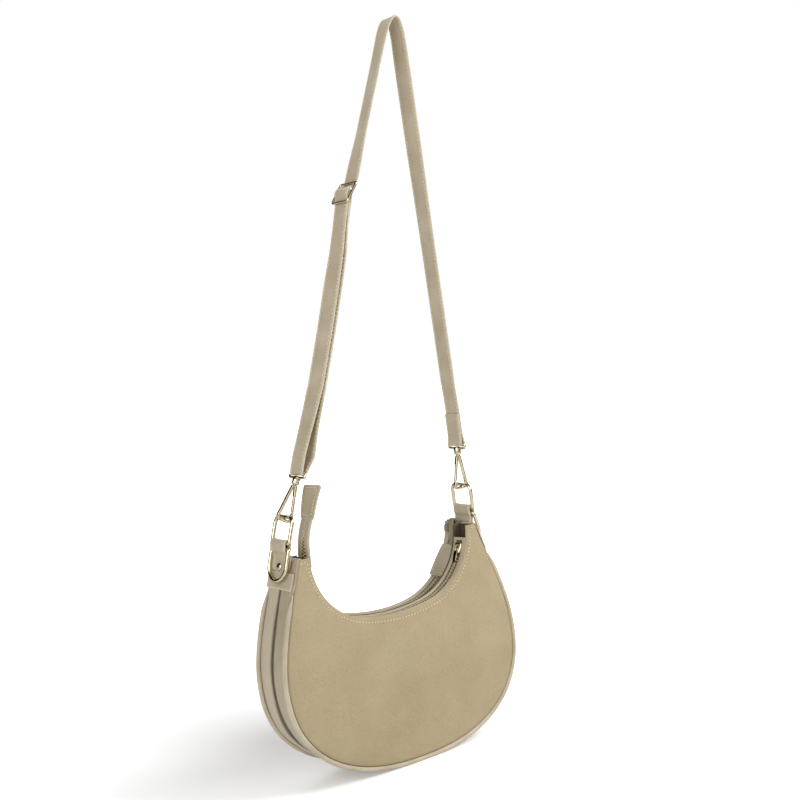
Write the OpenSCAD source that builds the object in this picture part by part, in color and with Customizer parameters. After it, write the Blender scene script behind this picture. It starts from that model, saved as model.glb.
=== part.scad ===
// Half moon bag: two slim crescent pouches joined at the horns, on a strap with snap hooks.
// X runs along the bag, the front pouch faces -Y, Z is up and the floor is z = 0. Millimetres.

/* [Pouches] */
// Width of each pouch across its panel
body_w = 270; // [250:1:290]
// Height of the horns above the floor
horn_z = 211; // [205:0.5:225]
// Height at which a pouch is widest
belly_z = 101; // [96:1:112]
// Width of a horn across its flat top
horn_w = 12; // [10:0.5:15]
// Depth of one pouch at the horns
pouch_t = 20; // [18:0.5:24]
// Extra depth of one pouch at the floor
belly_swell = 1; // [0:0.5:3]
// Gap between the two pouches at the horns
pouch_gap = 1; // [0.6:0.1:2]
// Lean of the front pouch in degrees
front_lean = 2.4; // [2:0.1:5]
// Lean of the rear pouch in degrees, negative as it leans under the bag
rear_lean = -0.2; // [-0.5:0.1:3]
// Sideways sag of the pouches at the floor
sag = 12.5; // [0:0.5:16]
// Thickness of the suede panels
panel_t = 1.6; // [1.2:0.1:2.2]
// Thickness of the smooth leather walls
wall_t = 1.2; // [1:0.1:1.6]
// Thickness of the lining cloth
lining_t = 0.6; // [0.4:0.1:1]
// Diameter of the piping
piping_d = 4.5; // [3.5:0.1:5]
// Height at which the piping starts
piping_top_z = 184; // [175:1:190]

/* [Rim and zip] */
// Half the distance between the horns
rim_half = 93.5; // [91:0.5:97]
// Radius of the rim beside each horn
rim_side_r = 65; // [60:0.5:66]
// How much deeper the rim is in the middle than at its sides
rim_dip = 3; // [2:0.5:8]
// Width of the slot in which the zip shows
zip_slot = 9.2; // [8.8:0.1:10]
// Distance from one tooth to the next on the same row
tooth_pitch = 3; // [2.4:0.1:4]
// Length of the zip slider
slider_l = 11; // [9:0.5:13]
// Width of the zip slider
slider_w = 8; // [7.6:0.1:8.2]
// Length of the zip pull from its pivot
pull_l = 15; // [12:0.5:18]
// Where the slider is parked, in degrees up the rim from its side centre
slider_a = 70; // [66:0.5:71]
// Height of the leather tab at the tail of the zip
tab_h = 30.5; // [27:0.5:34]
// Width of that tab at its end
tab_w = 26.5; // [22:0.5:28]

/* [Horn hardware] */
// Wire diameter of the links and rings
wire_d = 3.2; // [2.8:0.1:3.4]
// Width of a link and a ring, between wire centres
link_w = 26.6; // [26:0.1:29]
// Height of a link, between wire centres
link_h = 23.5; // [22:0.5:27]
// Inward lean of the left link in degrees
left_link_lean = 16; // [12:0.5:18]
// Inward lean of the right link in degrees
right_link_lean = 4; // [0:0.5:8]
// Length of a ring's straight arms
ring_arm = 15.5; // [13:0.5:18]
// Outward lean of the left ring in degrees
left_ring_lean = 15; // [14:0.5:24]
// Outward lean of the right ring in degrees
right_ring_lean = 20; // [19:0.5:26]
// Width of the leather loops
loop_w = 22; // [20:0.5:22.4]
// Thickness of the loop leather
loop_t = 1.9; // [1.5:0.1:2]
// Radius of the rivet heads
rivet_r = 3.6; // [3:0.1:4.2]
// Height of the crosspieces
cross_h = 14.5; // [12:0.5:18]

/* [Snap hooks] */
// Height of the hook opening above the link's bar
hook_h = 27; // [26:0.5:31]
// Width of the hook at its foot
hook_w = 17; // [16.6:0.1:19]
// Thickness of the hook
hook_t = 3.2; // [2.8:0.1:4]
// Lean of the left hook in degrees
left_hook_lean = 26; // [20:0.5:28]
// Lean of the right hook in degrees
right_hook_lean = 3; // [0:0.5:8]

/* [Strap] */
// Height of the top of the strap
strap_z = 703; // [600:1:760]
// Sideways place of the top of the strap
strap_x = 55; // [40:1:65]
// Width of the strap
strap_w = 20; // [18:0.5:21]
// Thickness of the strap
strap_t = 1.6; // [1.3:0.1:1.8]
// Height of the buckle
buckle_z = 535; // [480:1:570]
// Wire diameter of the buckle
buckle_d = 2.4; // [2:0.1:2.6]

/* [Hidden] */
$fn = 48;
over = 1;
clear = 0.3;
seat = 0.1;
floor_cut = 0.5;
front = 1;
rear = -1;
left = -1;
right = 1;
suede = "#b8a888";
leather = "#b4a895";
leather_edge = "#cfc2ac";
cloth = "#8a7a62";
tape_olive = "#6e6446";
gold = "#d8c08a";

// The outline, seen from the front
half_w = body_w / 2;
seam_z = piping_d + seat;
belly_share = 2 / 2.33;
side_rise_share = 0.32;
horn_ease_share = 0.33;
horn_slope = 16;
horn_x = rim_half + horn_w;
curve_step = 6;

// The rim: a middle arc and two side arcs that meet it without a corner
rim_c = rim_half - rim_side_r;
rim_drop = rim_side_r + rim_dip;
rim_mid_r = (rim_c ^ 2 + rim_drop ^ 2 - rim_side_r ^ 2) / (2 * (rim_drop - rim_side_r));
rim_mid_a = asin(rim_c / (rim_mid_r - rim_side_r));
rim_mid_z = horn_z - rim_drop + rim_mid_r;
rim_mid_len = rim_mid_r * rim_mid_a * PI / 180;
rim_side_len = rim_side_r * (90 - rim_mid_a) * PI / 180;

// The zip lies along the middle of the rim
zip_back = 0.6;
zip_y = pouch_t / 2 + zip_back;
facing_t = wall_t;
tape_t = 0.6;
tape_w = 15;
channel_w = 1;
tooth_w = 2.6;
tooth_h = 1.1;
tooth_l = tooth_pitch / 2;
zip_end_a = 77;
slider_a_step = slider_l / rim_side_r * 90 / PI;
plate_t = 1;
web_w = 0.5;
lip_w = 0.6;
bail_r = 2;
bail_hole_r = 1.15;
bail_w = 1.2;
pull_bar_r = 0.65;
pull_t = 1;
pull_w = 5;
pull_slot_w = 2.4;
pull_slot_l = 2.9;
tail_t = 2;
tail_w = 14;
tail_rise = 33.5;
tail_in = 7;
tail_fall = 24;
tail_fold_r = 1.8;
tab_lean = 18;
tab_t = 3.4;
tab_neck_share = 0.75;
piping_bite = 1;
piping_y = piping_d / 2 - piping_bite;

// Where the loops carry the links and rings
loop_r = wire_d / 2 + clear;
link_out = 4.5;
link_rise = 13.5;
link_x = horn_x + link_out;
link_z = horn_z + link_rise;
ring_out = 0.6;
ring_gap = 1.6;
ring_x = link_x + ring_out;
ring_z = link_z - wire_d - ring_gap;
loop_foot = 12;
loop_end_r = 6;
cross_t = 1.7;
cross_top_z = horn_z - loop_foot - seat * 4;
cross_inset = 1;
cross_half_y = pouch_t - cross_inset;
rivet_drop = 7.8;
rivet_h = 2;
shank_r = 1.2;
corner_r = 3;
link_top_r = 6;

// The hooks, measured up from the link's top bar
hook_bar = 2.6;
foot_r = 4.2;
head_r = 3;
foot_x = hook_w / 2 - foot_r;
foot_z = foot_r - hook_bar - wire_d / 2 - clear;
nose_z = 3.2;
gate_top_drop = 6.5;
pin_drop = 4.7;
gate_top_z = hook_h - gate_top_drop;
pin_z = hook_h - pin_drop;
pin_x = 3.1;
pin_r = 0.8;
pin_clear = 0.05;
gate_r = 1.25;
gate_out = 0.75;
gate_t = 2.4;
tongue_t = 1.3;
tongue_slot_end = 0.6;
stem_r = 1.5;
collar_z = hook_h + head_r + clear;
collar_h = 3;
collar_r = 3.4;
ball_r = 2.3;
ball_z = collar_z + collar_h + ball_r + seat;
eye_rise = 8;
eye_z = collar_z + collar_h + eye_rise;
eye_r = 1.2;
arm_sink = 0.5;
eye_play = 0.7;
eye_half = strap_w / 2 + eye_r + eye_play;
eye_shoulder = 5.2;
function link_lean(k) = k == left ? left_link_lean : right_link_lean;
function hook_lean(k) = k == left ? left_hook_lean : right_hook_lean;
function link_top(k) = [link_x - link_h * sin(link_lean(k)), link_z + link_h * cos(link_lean(k))];
function eye_at(k) = link_top(k) + eye_z * [-sin(hook_lean(k)), cos(hook_lean(k))];

// The strap is one ribbon, followed from its sewn end on the right hook to the buckle
left_eye = [-eye_at(left).x, eye_at(left).y];
right_eye = eye_at(right);
fold_r = eye_r + clear + strap_t / 2;
layer = strap_t + seat;
arch_half = 11;
arch_drop = 22;
arch_rise_share = 1.32;
arch_left = [strap_x - arch_half, strap_z - arch_drop];
arch_right = [strap_x + arch_half, strap_z - arch_drop];
sewn_l = 30;
leaf_half = 4;
leaf_place_shares = [0.06, 0.16, 0.31, 0.51, 0.78];
leaf_gap_shares = [0.85, 1, 0.62, 0.27, 0.25];
buckle_r = 2;
buckle_half_l = 8.6;
buckle_play = 0.8;
buckle_half_w = strap_w / 2 + buckle_d / 2 + buckle_play;
buckle_lean = 32;
buckle_out_d = 4;
tail_l = 26;

// Moves the bag so that the middle of its footprint is the origin
bag_x = -sag * (1 - belly_z / horn_z);
bag_y = (horn_z * sin(front_lean) - piping_y * cos(front_lean) + piping_d / 2) / 2;

function flip(p) = [for (i = [len(p) - 1:-1:0]) p[i]];
function blend(p, t) = p[0] * (1 - t) ^ 3 + 3 * p[1] * t * (1 - t) ^ 2
    + 3 * p[2] * t ^ 2 * (1 - t) + p[3] * t ^ 3;
function unit(v) = v / norm(v);
function side_of(v) = [v.y, -v.x];

// Moves each point of an open curve along its right-hand normal
function shifted(p, d) = [for (i = [0:len(p) - 1])
    p[i] + d * side_of(unit(p[min(i + 1, len(p) - 1)] - p[max(i - 1, 0)]))];
function ribbon(p, t) = concat(shifted(p, t / 2), flip(shifted(p, -t / 2)));

function lower_point(a) = [half_w * sin(a) ^ belly_share,
    belly_z - (belly_z - seam_z) * cos(a) ^ belly_share];
horn_reach = horn_z - belly_z;
flank = [[half_w, belly_z], [half_w, belly_z + side_rise_share * horn_reach],
    [horn_x + horn_ease_share * horn_reach * sin(horn_slope),
     horn_z - horn_ease_share * horn_reach * cos(horn_slope)],
    [horn_x, horn_z]];
right_half = concat([for (a = [0:curve_step:90 - curve_step]) lower_point(a)],
    [for (i = [0:14]) blend(flank, i / 14)]);
function sagged(p, s) = [p.x + s * sag * (1 - p.y / horn_z), p.y];
function outer(s) = concat([for (p = flip(right_half)) sagged([-p.x, p.y], s)],
    [for (i = [1:len(right_half) - 1]) sagged(right_half[i], s)]);
function side_arc(a0, a1) = [for (i = [0:16]) let (a = a0 + (a1 - a0) * i / 16)
    [rim_c + rim_side_r * sin(a), horn_z - rim_side_r * cos(a)]];
mid_arc = [for (i = [1:15]) let (a = rim_mid_a * (1 - i / 8))
    [rim_mid_r * sin(a), rim_mid_z - rim_mid_r * cos(a)]];
right_rim = side_arc(90, rim_mid_a);
left_rim = [for (p = flip(right_rim)) [-p.x, p.y]];
rim = concat(right_rim, mid_arc, left_rim);
zip_rim = concat(side_arc(zip_end_a, rim_mid_a), mid_arc, left_rim);
function crescent(s, d) = concat(shifted(outer(s), d), shifted(rim, d));

// Depth of a pouch at a height, and a wedge between two depths
function depth_at(z) = pouch_t + belly_swell * (1 - z / horn_z);
module wedge(y0, inset) {
    top = horn_z * 2;
    rotate([90, 0, 90]) linear_extrude(body_w * 2, center = true)
        polygon([[y0, -over], [depth_at(-over) - inset, -over], [depth_at(top) - inset, top], [y0, top]]);
}
module back_wedge(inset) {
    top = horn_z * 2;
    deep = pouch_t * 3;
    rotate([90, 0, 90]) linear_extrude(body_w * 2, center = true)
        polygon([[depth_at(-over) - inset, -over], [deep, -over], [deep, top],
            [depth_at(top) - inset, top]]);
}
module upright(y0, y1) {
    translate([0, y1, 0]) rotate([90, 0, 0]) linear_extrude(y1 - y0) children();
}
module along_y(w) {
    rotate([90, 0, 0]) linear_extrude(w, center = true) children();
}
module above_floor() {
    difference() {
        children();
        translate([-body_w, -body_w, -body_w]) cube([body_w * 2, body_w * 2, body_w]);
    }
}
// Puts the whole bag over the origin
module bag() {
    translate([bag_x, bag_y, 0]) children();
}
// Stands a pouch up: its outer face is y = 0 in its own frame, and it leans about its horns
module pouch(s) {
    lean = s == front ? front_lean : rear_lean;
    drop = horn_z * (1 - cos(lean)) + floor_cut;
    bag() rotate([0, 0, s == front ? 0 : 180])
        translate([0, -pouch_gap / 2 - pouch_t, horn_z - drop]) rotate([-lean, 0, 0])
            translate([0, 0, -horn_z]) children();
}

module panel(s) {
    color(suede) pouch(s) upright(0, panel_t) polygon(crescent(s, -seat / 2));
}

// A sweep of rings along the outline, below the height where the piping starts
module piping(s) {
    sides = 12;
    line = [for (p = shifted(outer(s), piping_d / 2)) if (p.y < piping_top_z) p];
    n = len(line);
    function way(i) = unit(line[min(i + 1, n - 1)] - line[max(i - 1, 0)]);
    rings = [for (i = [0:n - 1]) let (o = side_of(way(i))) for (k = [0:sides - 1])
        let (a = k * 360 / sides, r = piping_d / 2)
        [line[i].x + r * cos(a) * o.x, piping_y + r * sin(a), line[i].y + r * cos(a) * o.y]];
    tube = [for (i = [0:n - 2]) for (k = [0:sides - 1])
        let (a = i * sides + k, b = i * sides + (k + 1) % sides)
        each [[a, b, a + sides], [b, b + sides, a + sides]]];
    caps = [flip([for (k = [0:sides - 1]) k]), [for (k = [0:sides - 1]) (n - 1) * sides + k]];
    color(leather_edge) above_floor() pouch(s) polyhedron(rings, [for (f = concat(tube, caps)) flip(f)]);
}

module gusset(s) {
    back = piping_y + piping_d / 2 + seat / 2;
    inner_edge = shifted(outer(s), seat);
    outer_edge = shifted(outer(s), seat + wall_t);
    cap_l = horn_w + seat + wall_t;
    color(leather) above_floor() pouch(s) difference() {
        intersection() {
            upright(seat, pouch_t * 2) {
                polygon(concat(outer_edge, flip(inner_edge)));
                for (x = [-rim_half - cap_l, rim_half]) translate([x, horn_z])
                    square([cap_l, wall_t]);
            }
            wedge(seat, 0);
        }
        translate([-body_w, 0, -over]) cube([body_w * 2, back, piping_top_z + over]);
        translate([-body_w, 0, -over]) cube([body_w * 2, panel_t, horn_z + over]);
    }
}

module inner_wall(s) {
    color(suede) pouch(s) intersection() {
        upright(panel_t, pouch_t * 2) polygon(crescent(s, 0));
        difference() {
            wedge(panel_t, 0);
            wedge(panel_t - over, wall_t);
        }
    }
}

// A thin cloth bag that follows the walls from inside
module lining(s) {
    gap = seat * 2;
    rim_gap = facing_t + tape_t + plate_t + 4 * clear;
    module room(d) {
        upright(panel_t + gap + d, pouch_t * 2)
            polygon(concat(shifted(outer(s), -gap - d), shifted(rim, -rim_gap - d)));
    }
    color(cloth) pouch(s) difference() {
        intersection() {
            room(0);
            wedge(0, wall_t + gap);
        }
        intersection() {
            room(lining_t);
            wedge(0, wall_t + gap + lining_t);
        }
    }
}

// Two leather strips along the rim, one on each side of the zip
module facings(s) {
    strip = concat(zip_rim, flip(shifted(zip_rim, -facing_t)));
    end = side_arc(zip_end_a + 2, zip_end_a);
    color(leather) pouch(s) {
        upright(panel_t, zip_y - zip_slot / 2) polygon(strip);
        intersection() {
            upright(zip_y + zip_slot / 2, pouch_t * 2) polygon(strip);
            wedge(0, wall_t);
        }
        intersection() {
            upright(panel_t, pouch_t * 2) polygon(concat(end, flip(shifted(end, -facing_t))));
            wedge(0, wall_t);
        }
    }
}

module zip_tape(s) {
    strip = concat(shifted(zip_rim, -facing_t - seat), flip(shifted(zip_rim, -facing_t - tape_t)));
    color(tape_olive) pouch(s) for (k = [-1, 1])
        translate([0, zip_y + k * (tape_w + channel_w) / 4, 0])
            along_y((tape_w - channel_w) / 2) polygon(strip);
}

// Puts a child on the rim at an arc length from the rim's lowest point
module on_rim(l) {
    beyond = abs(l) > rim_mid_len;
    a = beyond ? rim_mid_a + (abs(l) - rim_mid_len) / rim_side_r * 180 / PI : abs(l) / rim_mid_r * 180 / PI;
    k = l < 0 ? -1 : 1;
    translate([beyond ? k * rim_c : 0, 0, beyond ? horn_z : rim_mid_z]) rotate([0, -k * a, 0])
        translate([0, 0, beyond ? -rim_side_r : -rim_mid_r]) children();
}
module zip_teeth(s) {
    zip_len = rim_mid_len + rim_side_r * (slider_a - slider_a_step - rim_mid_a) * PI / 180;
    tail_len = rim_mid_len + rim_side_len;
    n = floor((zip_len + tail_len) / tooth_pitch);
    color(gold) pouch(s) for (i = [0:n - 1]) for (k = [-1, 1])
        on_rim((i + 0.5) * tooth_pitch - tail_len + (k + 1) / 4 * tooth_pitch)
            translate([-tooth_l / 2, zip_y + k * (channel_w + tooth_w) / 2 - tooth_w / 2, -facing_t])
                cube([tooth_l, tooth_w, tooth_h]);
}

// The tail of the zip: upright on the front pouch, folded down inside the rim on the rear one
tail_x = -rim_half + facing_t;
tail_up = [[tail_x, horn_z], [tail_x, horn_z + tail_rise / 2],
    [tail_x + tail_in * 0.36, horn_z + tail_rise * 0.7], [tail_x + tail_in, horn_z + tail_rise]];
tab_r = rim_side_r - tab_t / 2 - clear * 3;
tab_a = acos(tail_fall / tab_r);
tab_root = [-rim_c - tab_r * sin(tab_a), horn_z - tail_fall];
tail_down = concat([[tail_x, horn_z]],
    turn([tail_x + tail_fold_r, horn_z + tail_fold_r], tail_fold_r, 180, 0, 8), [tab_root]);
module zip_tab(s) {
    route = s == front ? [for (i = [0:12]) blend(tail_up, i / 12)] : tail_down;
    last = route[len(route) - 1];
    tilt = s == front ? tab_lean : 90 + tab_a - asin(tab_h / 2 / tab_r);
    color(leather) pouch(s) {
        translate([0, zip_y, 0]) along_y(tail_w) polygon(ribbon(route, tail_t));
        translate([last.x, zip_y, last.y]) rotate([0, tilt, 0])
            rotate([90, 0, 90]) linear_extrude(tab_t, center = true)
                polygon([[-tab_w / 2 * tab_neck_share, 0], [tab_w / 2 * tab_neck_share, 0],
                    [tab_w / 2, tab_h], [-tab_w / 2, tab_h]]);
    }
}

// A band bent round the rim's side centre, between two radii, depths and angles
module rim_band(r0, r1, y0, y1, a0, a1) {
    translate([rim_c, 0, horn_z]) rotate([-90, 0, 0]) rotate([0, 0, 90 - a1])
        rotate_extrude(angle = a1 - a0, $fn = 180) translate([r0, y0]) square([r1 - r0, y1 - y0]);
}
slider_top_r = rim_side_r - clear - plate_t;
bail_z = slider_top_r - bail_hole_r;
module at_slider() {
    translate([rim_c, zip_y, horn_z]) rotate([0, -slider_a, 0]) translate([0, 0, -bail_z]) children();
}
module slider(s) {
    a0 = slider_a - slider_a_step;
    a1 = slider_a + slider_a_step;
    tape_r = rim_side_r + facing_t + tape_t;
    lip_r = rim_side_r + facing_t - seat * 2;
    under_r = tape_r + clear;
    color(gold) pouch(s) {
        rim_band(slider_top_r, rim_side_r - clear, zip_y - slider_w / 2, zip_y + slider_w / 2, a0, a1);
        for (k = [-1, 1])
            rim_band(slider_top_r, lip_r, zip_y + k * (slider_w - lip_w) / 2 - lip_w / 2,
                zip_y + k * (slider_w - lip_w) / 2 + lip_w / 2, a0, a1);
        rim_band(under_r, under_r + plate_t, zip_y - slider_w / 2, zip_y + slider_w / 2, a0, a1);
        rim_band(slider_top_r + plate_t / 2, under_r + plate_t / 2, zip_y - web_w / 2, zip_y + web_w / 2,
            slider_a + slider_a_step / 2, a1);
        at_slider() along_y(bail_w) difference() {
            union() {
                circle(bail_r);
                translate([-bail_r, -bail_hole_r - plate_t / 2])
                    square([bail_r * 2, bail_hole_r + plate_t / 2]);
            }
            circle(bail_hole_r);
        }
    }
}
module pull(s) {
    plate_l = pull_l - pull_slot_l;
    color(gold) pouch(s) at_slider() rotate([0, 180, 0]) {
        rotate([90, 0, 0]) cylinder(r = pull_bar_r, h = pull_w, center = true);
        for (k = [-1, 1]) translate([0, k * (pull_w + pull_slot_w) / 4, -pull_t / 2])
            translate([0, -(pull_w - pull_slot_w) / 4, 0])
                cube([pull_slot_l + over / 2, (pull_w - pull_slot_w) / 2, pull_t]);
        translate([pull_slot_l, -pull_w / 2, -pull_t / 2]) cube([plate_l - pull_w / 2, pull_w, pull_t]);
        translate([pull_l - pull_w / 2, 0, 0]) cylinder(r = pull_w / 2, h = pull_t, center = true);
    }
}

// The gusset's outer face beside a horn, at a depth below the horn's top
function flank_share(k) = tan(horn_slope) + k * sag / horn_z;
function flank_at(k, d) = horn_x + seat + wall_t + d * flank_share(k);
function leg_top(k) = [flank_at(k, 0) + clear + loop_t, horn_z];
function leg_foot(k) = [flank_at(k, loop_foot) + clear * 2 + loop_t, horn_z - loop_foot];

// A strip of leather folded over the link's bar and the ring's bar, with both ends on the horn
module loop(k) {
    leg = [[ring_x, ring_z], leg_top(k), leg_foot(k)];
    module pocket(r) {
        translate([link_x, link_z]) circle(r);
        translate([ring_x, ring_z]) circle(r);
        polygon(ribbon([[link_x, link_z], [ring_x, ring_z]], r * 2));
    }
    module face() {
        w = loop_w / 2 - loop_end_r;
        for (y = [-w, w]) translate([y, loop_end_r - loop_foot]) circle(loop_end_r);
        translate([-w, -loop_foot]) square([w * 2, loop_end_r * 2]);
        translate([-loop_w / 2, loop_end_r - loop_foot]) square([loop_w, link_z]);
    }
    color(leather) bag() mirror([k == left ? 1 : 0, 0, 0]) difference() {
        intersection() {
            along_y(loop_w) difference() {
                union() {
                    pocket(loop_r + loop_t);
                    polygon(ribbon(leg, loop_t * 2));
                }
                pocket(loop_r);
            }
            translate([0, 0, horn_z]) rotate([90, 0, 90]) linear_extrude(body_w) face();
        }
        at_rivet(k) cylinder(r = shank_r + pin_clear, h = loop_t * 4, center = true);
    }
}
// The rivet sits square on the leg, its origin halfway through the leather
module at_rivet(k) {
    way = leg_foot(k) - leg_top(k);
    at = leg_top(k) + way * rivet_drop / loop_foot;
    translate([at.x, 0, at.y]) rotate([0, 90 - atan2(way.x, -way.y), 0]) children();
}
module rivet(k) {
    face = loop_t + seat / 2;
    dome_r = (rivet_r ^ 2 + rivet_h ^ 2) / (2 * rivet_h);
    color(gold) bag() mirror([k == left ? 1 : 0, 0, 0]) at_rivet(k) {
        translate([0, 0, -loop_t]) cylinder(r = shank_r, h = loop_t + face + seat);
        intersection() {
            translate([0, 0, face + rivet_h - dome_r]) sphere(dome_r);
            translate([0, 0, face]) cylinder(r = rivet_r, h = rivet_h + over);
        }
    }
}
// A strip across both gussets, under the loop
module crosspiece(k) {
    line = shifted(outer(k), seat + wall_t + clear + cross_t / 2);
    side = [for (p = line) if (p.x > 0 && p.y > belly_z) p];
    color(leather) bag() mirror([k == left ? 1 : 0, 0, 0]) along_y(cross_half_y * 2) intersection() {
        polygon(ribbon(side, cross_t));
        translate([0, cross_top_z - cross_h]) square([body_w, cross_h]);
    }
}

// A rounded rectangle of wire in the YZ plane, standing on its lower bar
module link(k) {
    color(gold) bag() mirror([k == left ? 1 : 0, 0, 0]) translate([link_x, 0, link_z])
        rotate([0, -link_lean(k), 0]) wire_frame(link_w, link_h, corner_r, link_top_r, wire_d / 2);
}
// Its two lower corners and its two upper ones have their own radius
module wire_frame(wide, tall, low_r, top_r, wire_r) {
    module corner(x, z, r, turned) {
        translate([x * (wide / 2 - r), z, 0]) rotate([0, 0, turned])
            rotate_extrude(angle = 90) translate([r, 0]) circle(wire_r);
    }
    module bar(z, r) {
        translate([0, z, 0]) rotate([0, 90, 0]) cylinder(r = wire_r, h = wide - r * 2, center = true);
    }
    rotate([90, 0, 90]) {
        corner(1, low_r, low_r, 270);
        corner(1, tall - top_r, top_r, 0);
        corner(-1, tall - top_r, top_r, 90);
        corner(-1, low_r, low_r, 180);
        bar(0, low_r);
        bar(tall, top_r);
        for (x = [-wide / 2, wide / 2]) translate([x, tall - top_r, 0]) rotate([90, 0, 0])
            cylinder(r = wire_r, h = tall - top_r - low_r);
    }
}
// A ring with one straight bar, hanging from that bar
module ring(k) {
    w = link_w / 2;
    color(gold) bag() mirror([k == left ? 1 : 0, 0, 0]) translate([ring_x, 0, ring_z])
        rotate([0, k == left ? -left_ring_lean : -right_ring_lean, 0]) rotate([90, 0, 90]) {
            rotate([0, 90, 0]) cylinder(r = wire_d / 2, h = link_w, center = true);
            for (x = [-w, w]) translate([x, 0, 0]) {
                sphere(wire_d / 2);
                rotate([90, 0, 0]) cylinder(r = wire_d / 2, h = ring_arm);
            }
            translate([0, -ring_arm, 0]) rotate([0, 0, 180]) rotate_extrude(angle = 180)
                translate([w, 0]) circle(wire_d / 2);
        }
}

// The hook's own frame: origin in the link's top bar, Z up the hook, gate on the -X side
module hook_place(k) {
    bag() mirror([k == left ? 1 : 0, 0, 0]) translate([link_top(k).x, 0, link_top(k).y])
        rotate([0, -hook_lean(k), 0]) children();
}
module teardrop(trim) {
    hull() {
        for (k = [-1, 1]) translate([k * foot_x, foot_z]) circle(foot_r - trim, $fn = 32);
        translate([0, hook_h]) circle(head_r - trim * 0.9, $fn = 32);
    }
}
module hook(k) {
    color(gold) hook_place(k) {
        difference() {
            along_y(hook_t) difference() {
                teardrop(0);
                teardrop(hook_bar);
                translate([-hook_w, nose_z]) square([hook_w - seat * 5, gate_top_z - nose_z]);
            }
            translate([-hook_w, -tongue_t / 2 - seat, gate_top_z - over])
                cube([hook_w - tongue_slot_end, tongue_t + seat * 2, gate_r * 1.5 + pin_z - gate_top_z + over]);
            translate([-pin_x, 0, pin_z]) rotate([90, 0, 0])
                cylinder(r = pin_r + pin_clear / 2, h = hook_t + over, center = true);
        }
        translate([0, 0, hook_h]) cylinder(r = stem_r, h = ball_z - hook_h);
        translate([0, 0, ball_z]) sphere(ball_r);
    }
}
module gate(k) {
    foot = [-foot_x - foot_r + hook_bar / 2 + gate_out, nose_z + gate_r + clear];
    head = [-pin_x - (foot_x + foot_r - hook_bar / 2 - gate_out - pin_x) * 0.14, gate_top_z - gate_r - clear];
    color(gold) hook_place(k) difference() {
        union() {
            along_y(gate_t) polygon(ribbon([foot, head], gate_r * 2));
            for (p = [foot, head]) translate([p.x, 0, p.y]) rotate([90, 0, 0])
                cylinder(r = gate_r, h = gate_t, center = true);
            along_y(tongue_t) polygon(ribbon([head, [-pin_x, pin_z]], gate_r * 1.6));
            translate([-pin_x, 0, pin_z]) rotate([90, 0, 0])
                cylinder(r = gate_r * 1.1, h = tongue_t, center = true);
        }
        translate([-pin_x, 0, pin_z]) rotate([90, 0, 0])
            cylinder(r = pin_r + pin_clear, h = hook_t, center = true);
    }
}
module gate_pin(k) {
    color(gold) hook_place(k) translate([-pin_x, 0, pin_z]) rotate([90, 0, 0])
        cylinder(r = pin_r, h = hook_t, center = true);
}
// The eye: a collar round the hook's stem, two arms, and the bar in the strap's fold
module swivel_eye(k) {
    neck = collar_z + collar_h / 2;
    color(gold) hook_place(k) {
        difference() {
            translate([0, 0, collar_z]) cylinder(r = collar_r, h = collar_h);
            translate([0, 0, collar_z - over]) cylinder(r = stem_r + pin_clear, h = collar_h + over * 2);
        }
        for (j = [-1, 1]) {
            arm = [j * (eye_half - collar_r + arm_sink), eye_shoulder];
            translate([0, j * (collar_r - arm_sink), neck]) rotate([-atan2(arm.x, arm.y), 0, 0])
                cylinder(r = eye_r, h = norm(arm));
            translate([0, j * eye_half, neck + eye_shoulder]) sphere(eye_r);
            translate([0, j * eye_half, neck + eye_shoulder])
                cylinder(r = eye_r, h = eye_z - neck - eye_shoulder);
            translate([0, j * eye_half, eye_z]) sphere(eye_r);
        }
        translate([0, 0, eye_z]) rotate([90, 0, 0]) cylinder(r = eye_r, h = eye_half * 2, center = true);
    }
}

// Strap route in the XZ plane
up_right = unit(arch_right - right_eye);
up_left = unit(arch_left - left_eye);
out_right = side_of(up_right);
out_left = -side_of(up_left);
left_l = norm(arch_left - left_eye);
buckle_s = (buckle_z - left_eye.y) / up_left.y;
buckle_at = left_eye + buckle_s * up_left + buckle_out_d * out_left;
buckle_up = [sin(buckle_lean), cos(buckle_lean)];
buckle_out = [-cos(buckle_lean), sin(buckle_lean)];
buckle_tip = buckle_lean - atan2(up_left.x, up_left.y);
function by_right(s, d) = right_eye + s * up_right + d * out_right;
function by_left(s, d) = left_eye + s * up_left + d * out_left;
function turn(c, r, a0, a1, n) = [for (i = [0:n]) let (a = a0 + (a1 - a0) * i / n) c + r * [cos(a), sin(a)]];

// A bend round one of the buckle's bars; 0 is its inner side and 180 its outer side
function bend(u, r, a0, a1, n) = [for (i = [0:n]) let (a = a0 + (a1 - a0) * i / n)
    buckle_at + (u + r * sin(a)) * buckle_up - r * cos(a) * buckle_out];
fixed_r = buckle_d / 2 + strap_t / 2 + seat;
under_r = buckle_d / 2 + strap_t / 2 + clear;
cross_a = asin((fixed_r + under_r + layer) / buckle_half_l);
tail_a = asin((under_r + layer * 2 - fixed_r) / buckle_half_l);
right_a = atan2(out_right.y, out_right.x);
left_a = atan2(out_left.y, out_left.x);
arch_pull = arch_rise_share * arch_drop;
arch = [arch_left, arch_left + arch_pull * [up_left.x / up_left.y, 1],
    arch_right + arch_pull * [up_right.x / up_right.y, 1], arch_right];
below_d = buckle_out_d + buckle_half_l * sin(buckle_tip) - under_r;
leaf_n = len(leaf_place_shares) - 1;
function leaf(i, k) = by_left(leaf_place_shares[i] * buckle_s,
    k * leaf_gap_shares[i] * leaf_half + leaf_place_shares[i] * (below_d - layer / 2));
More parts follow.
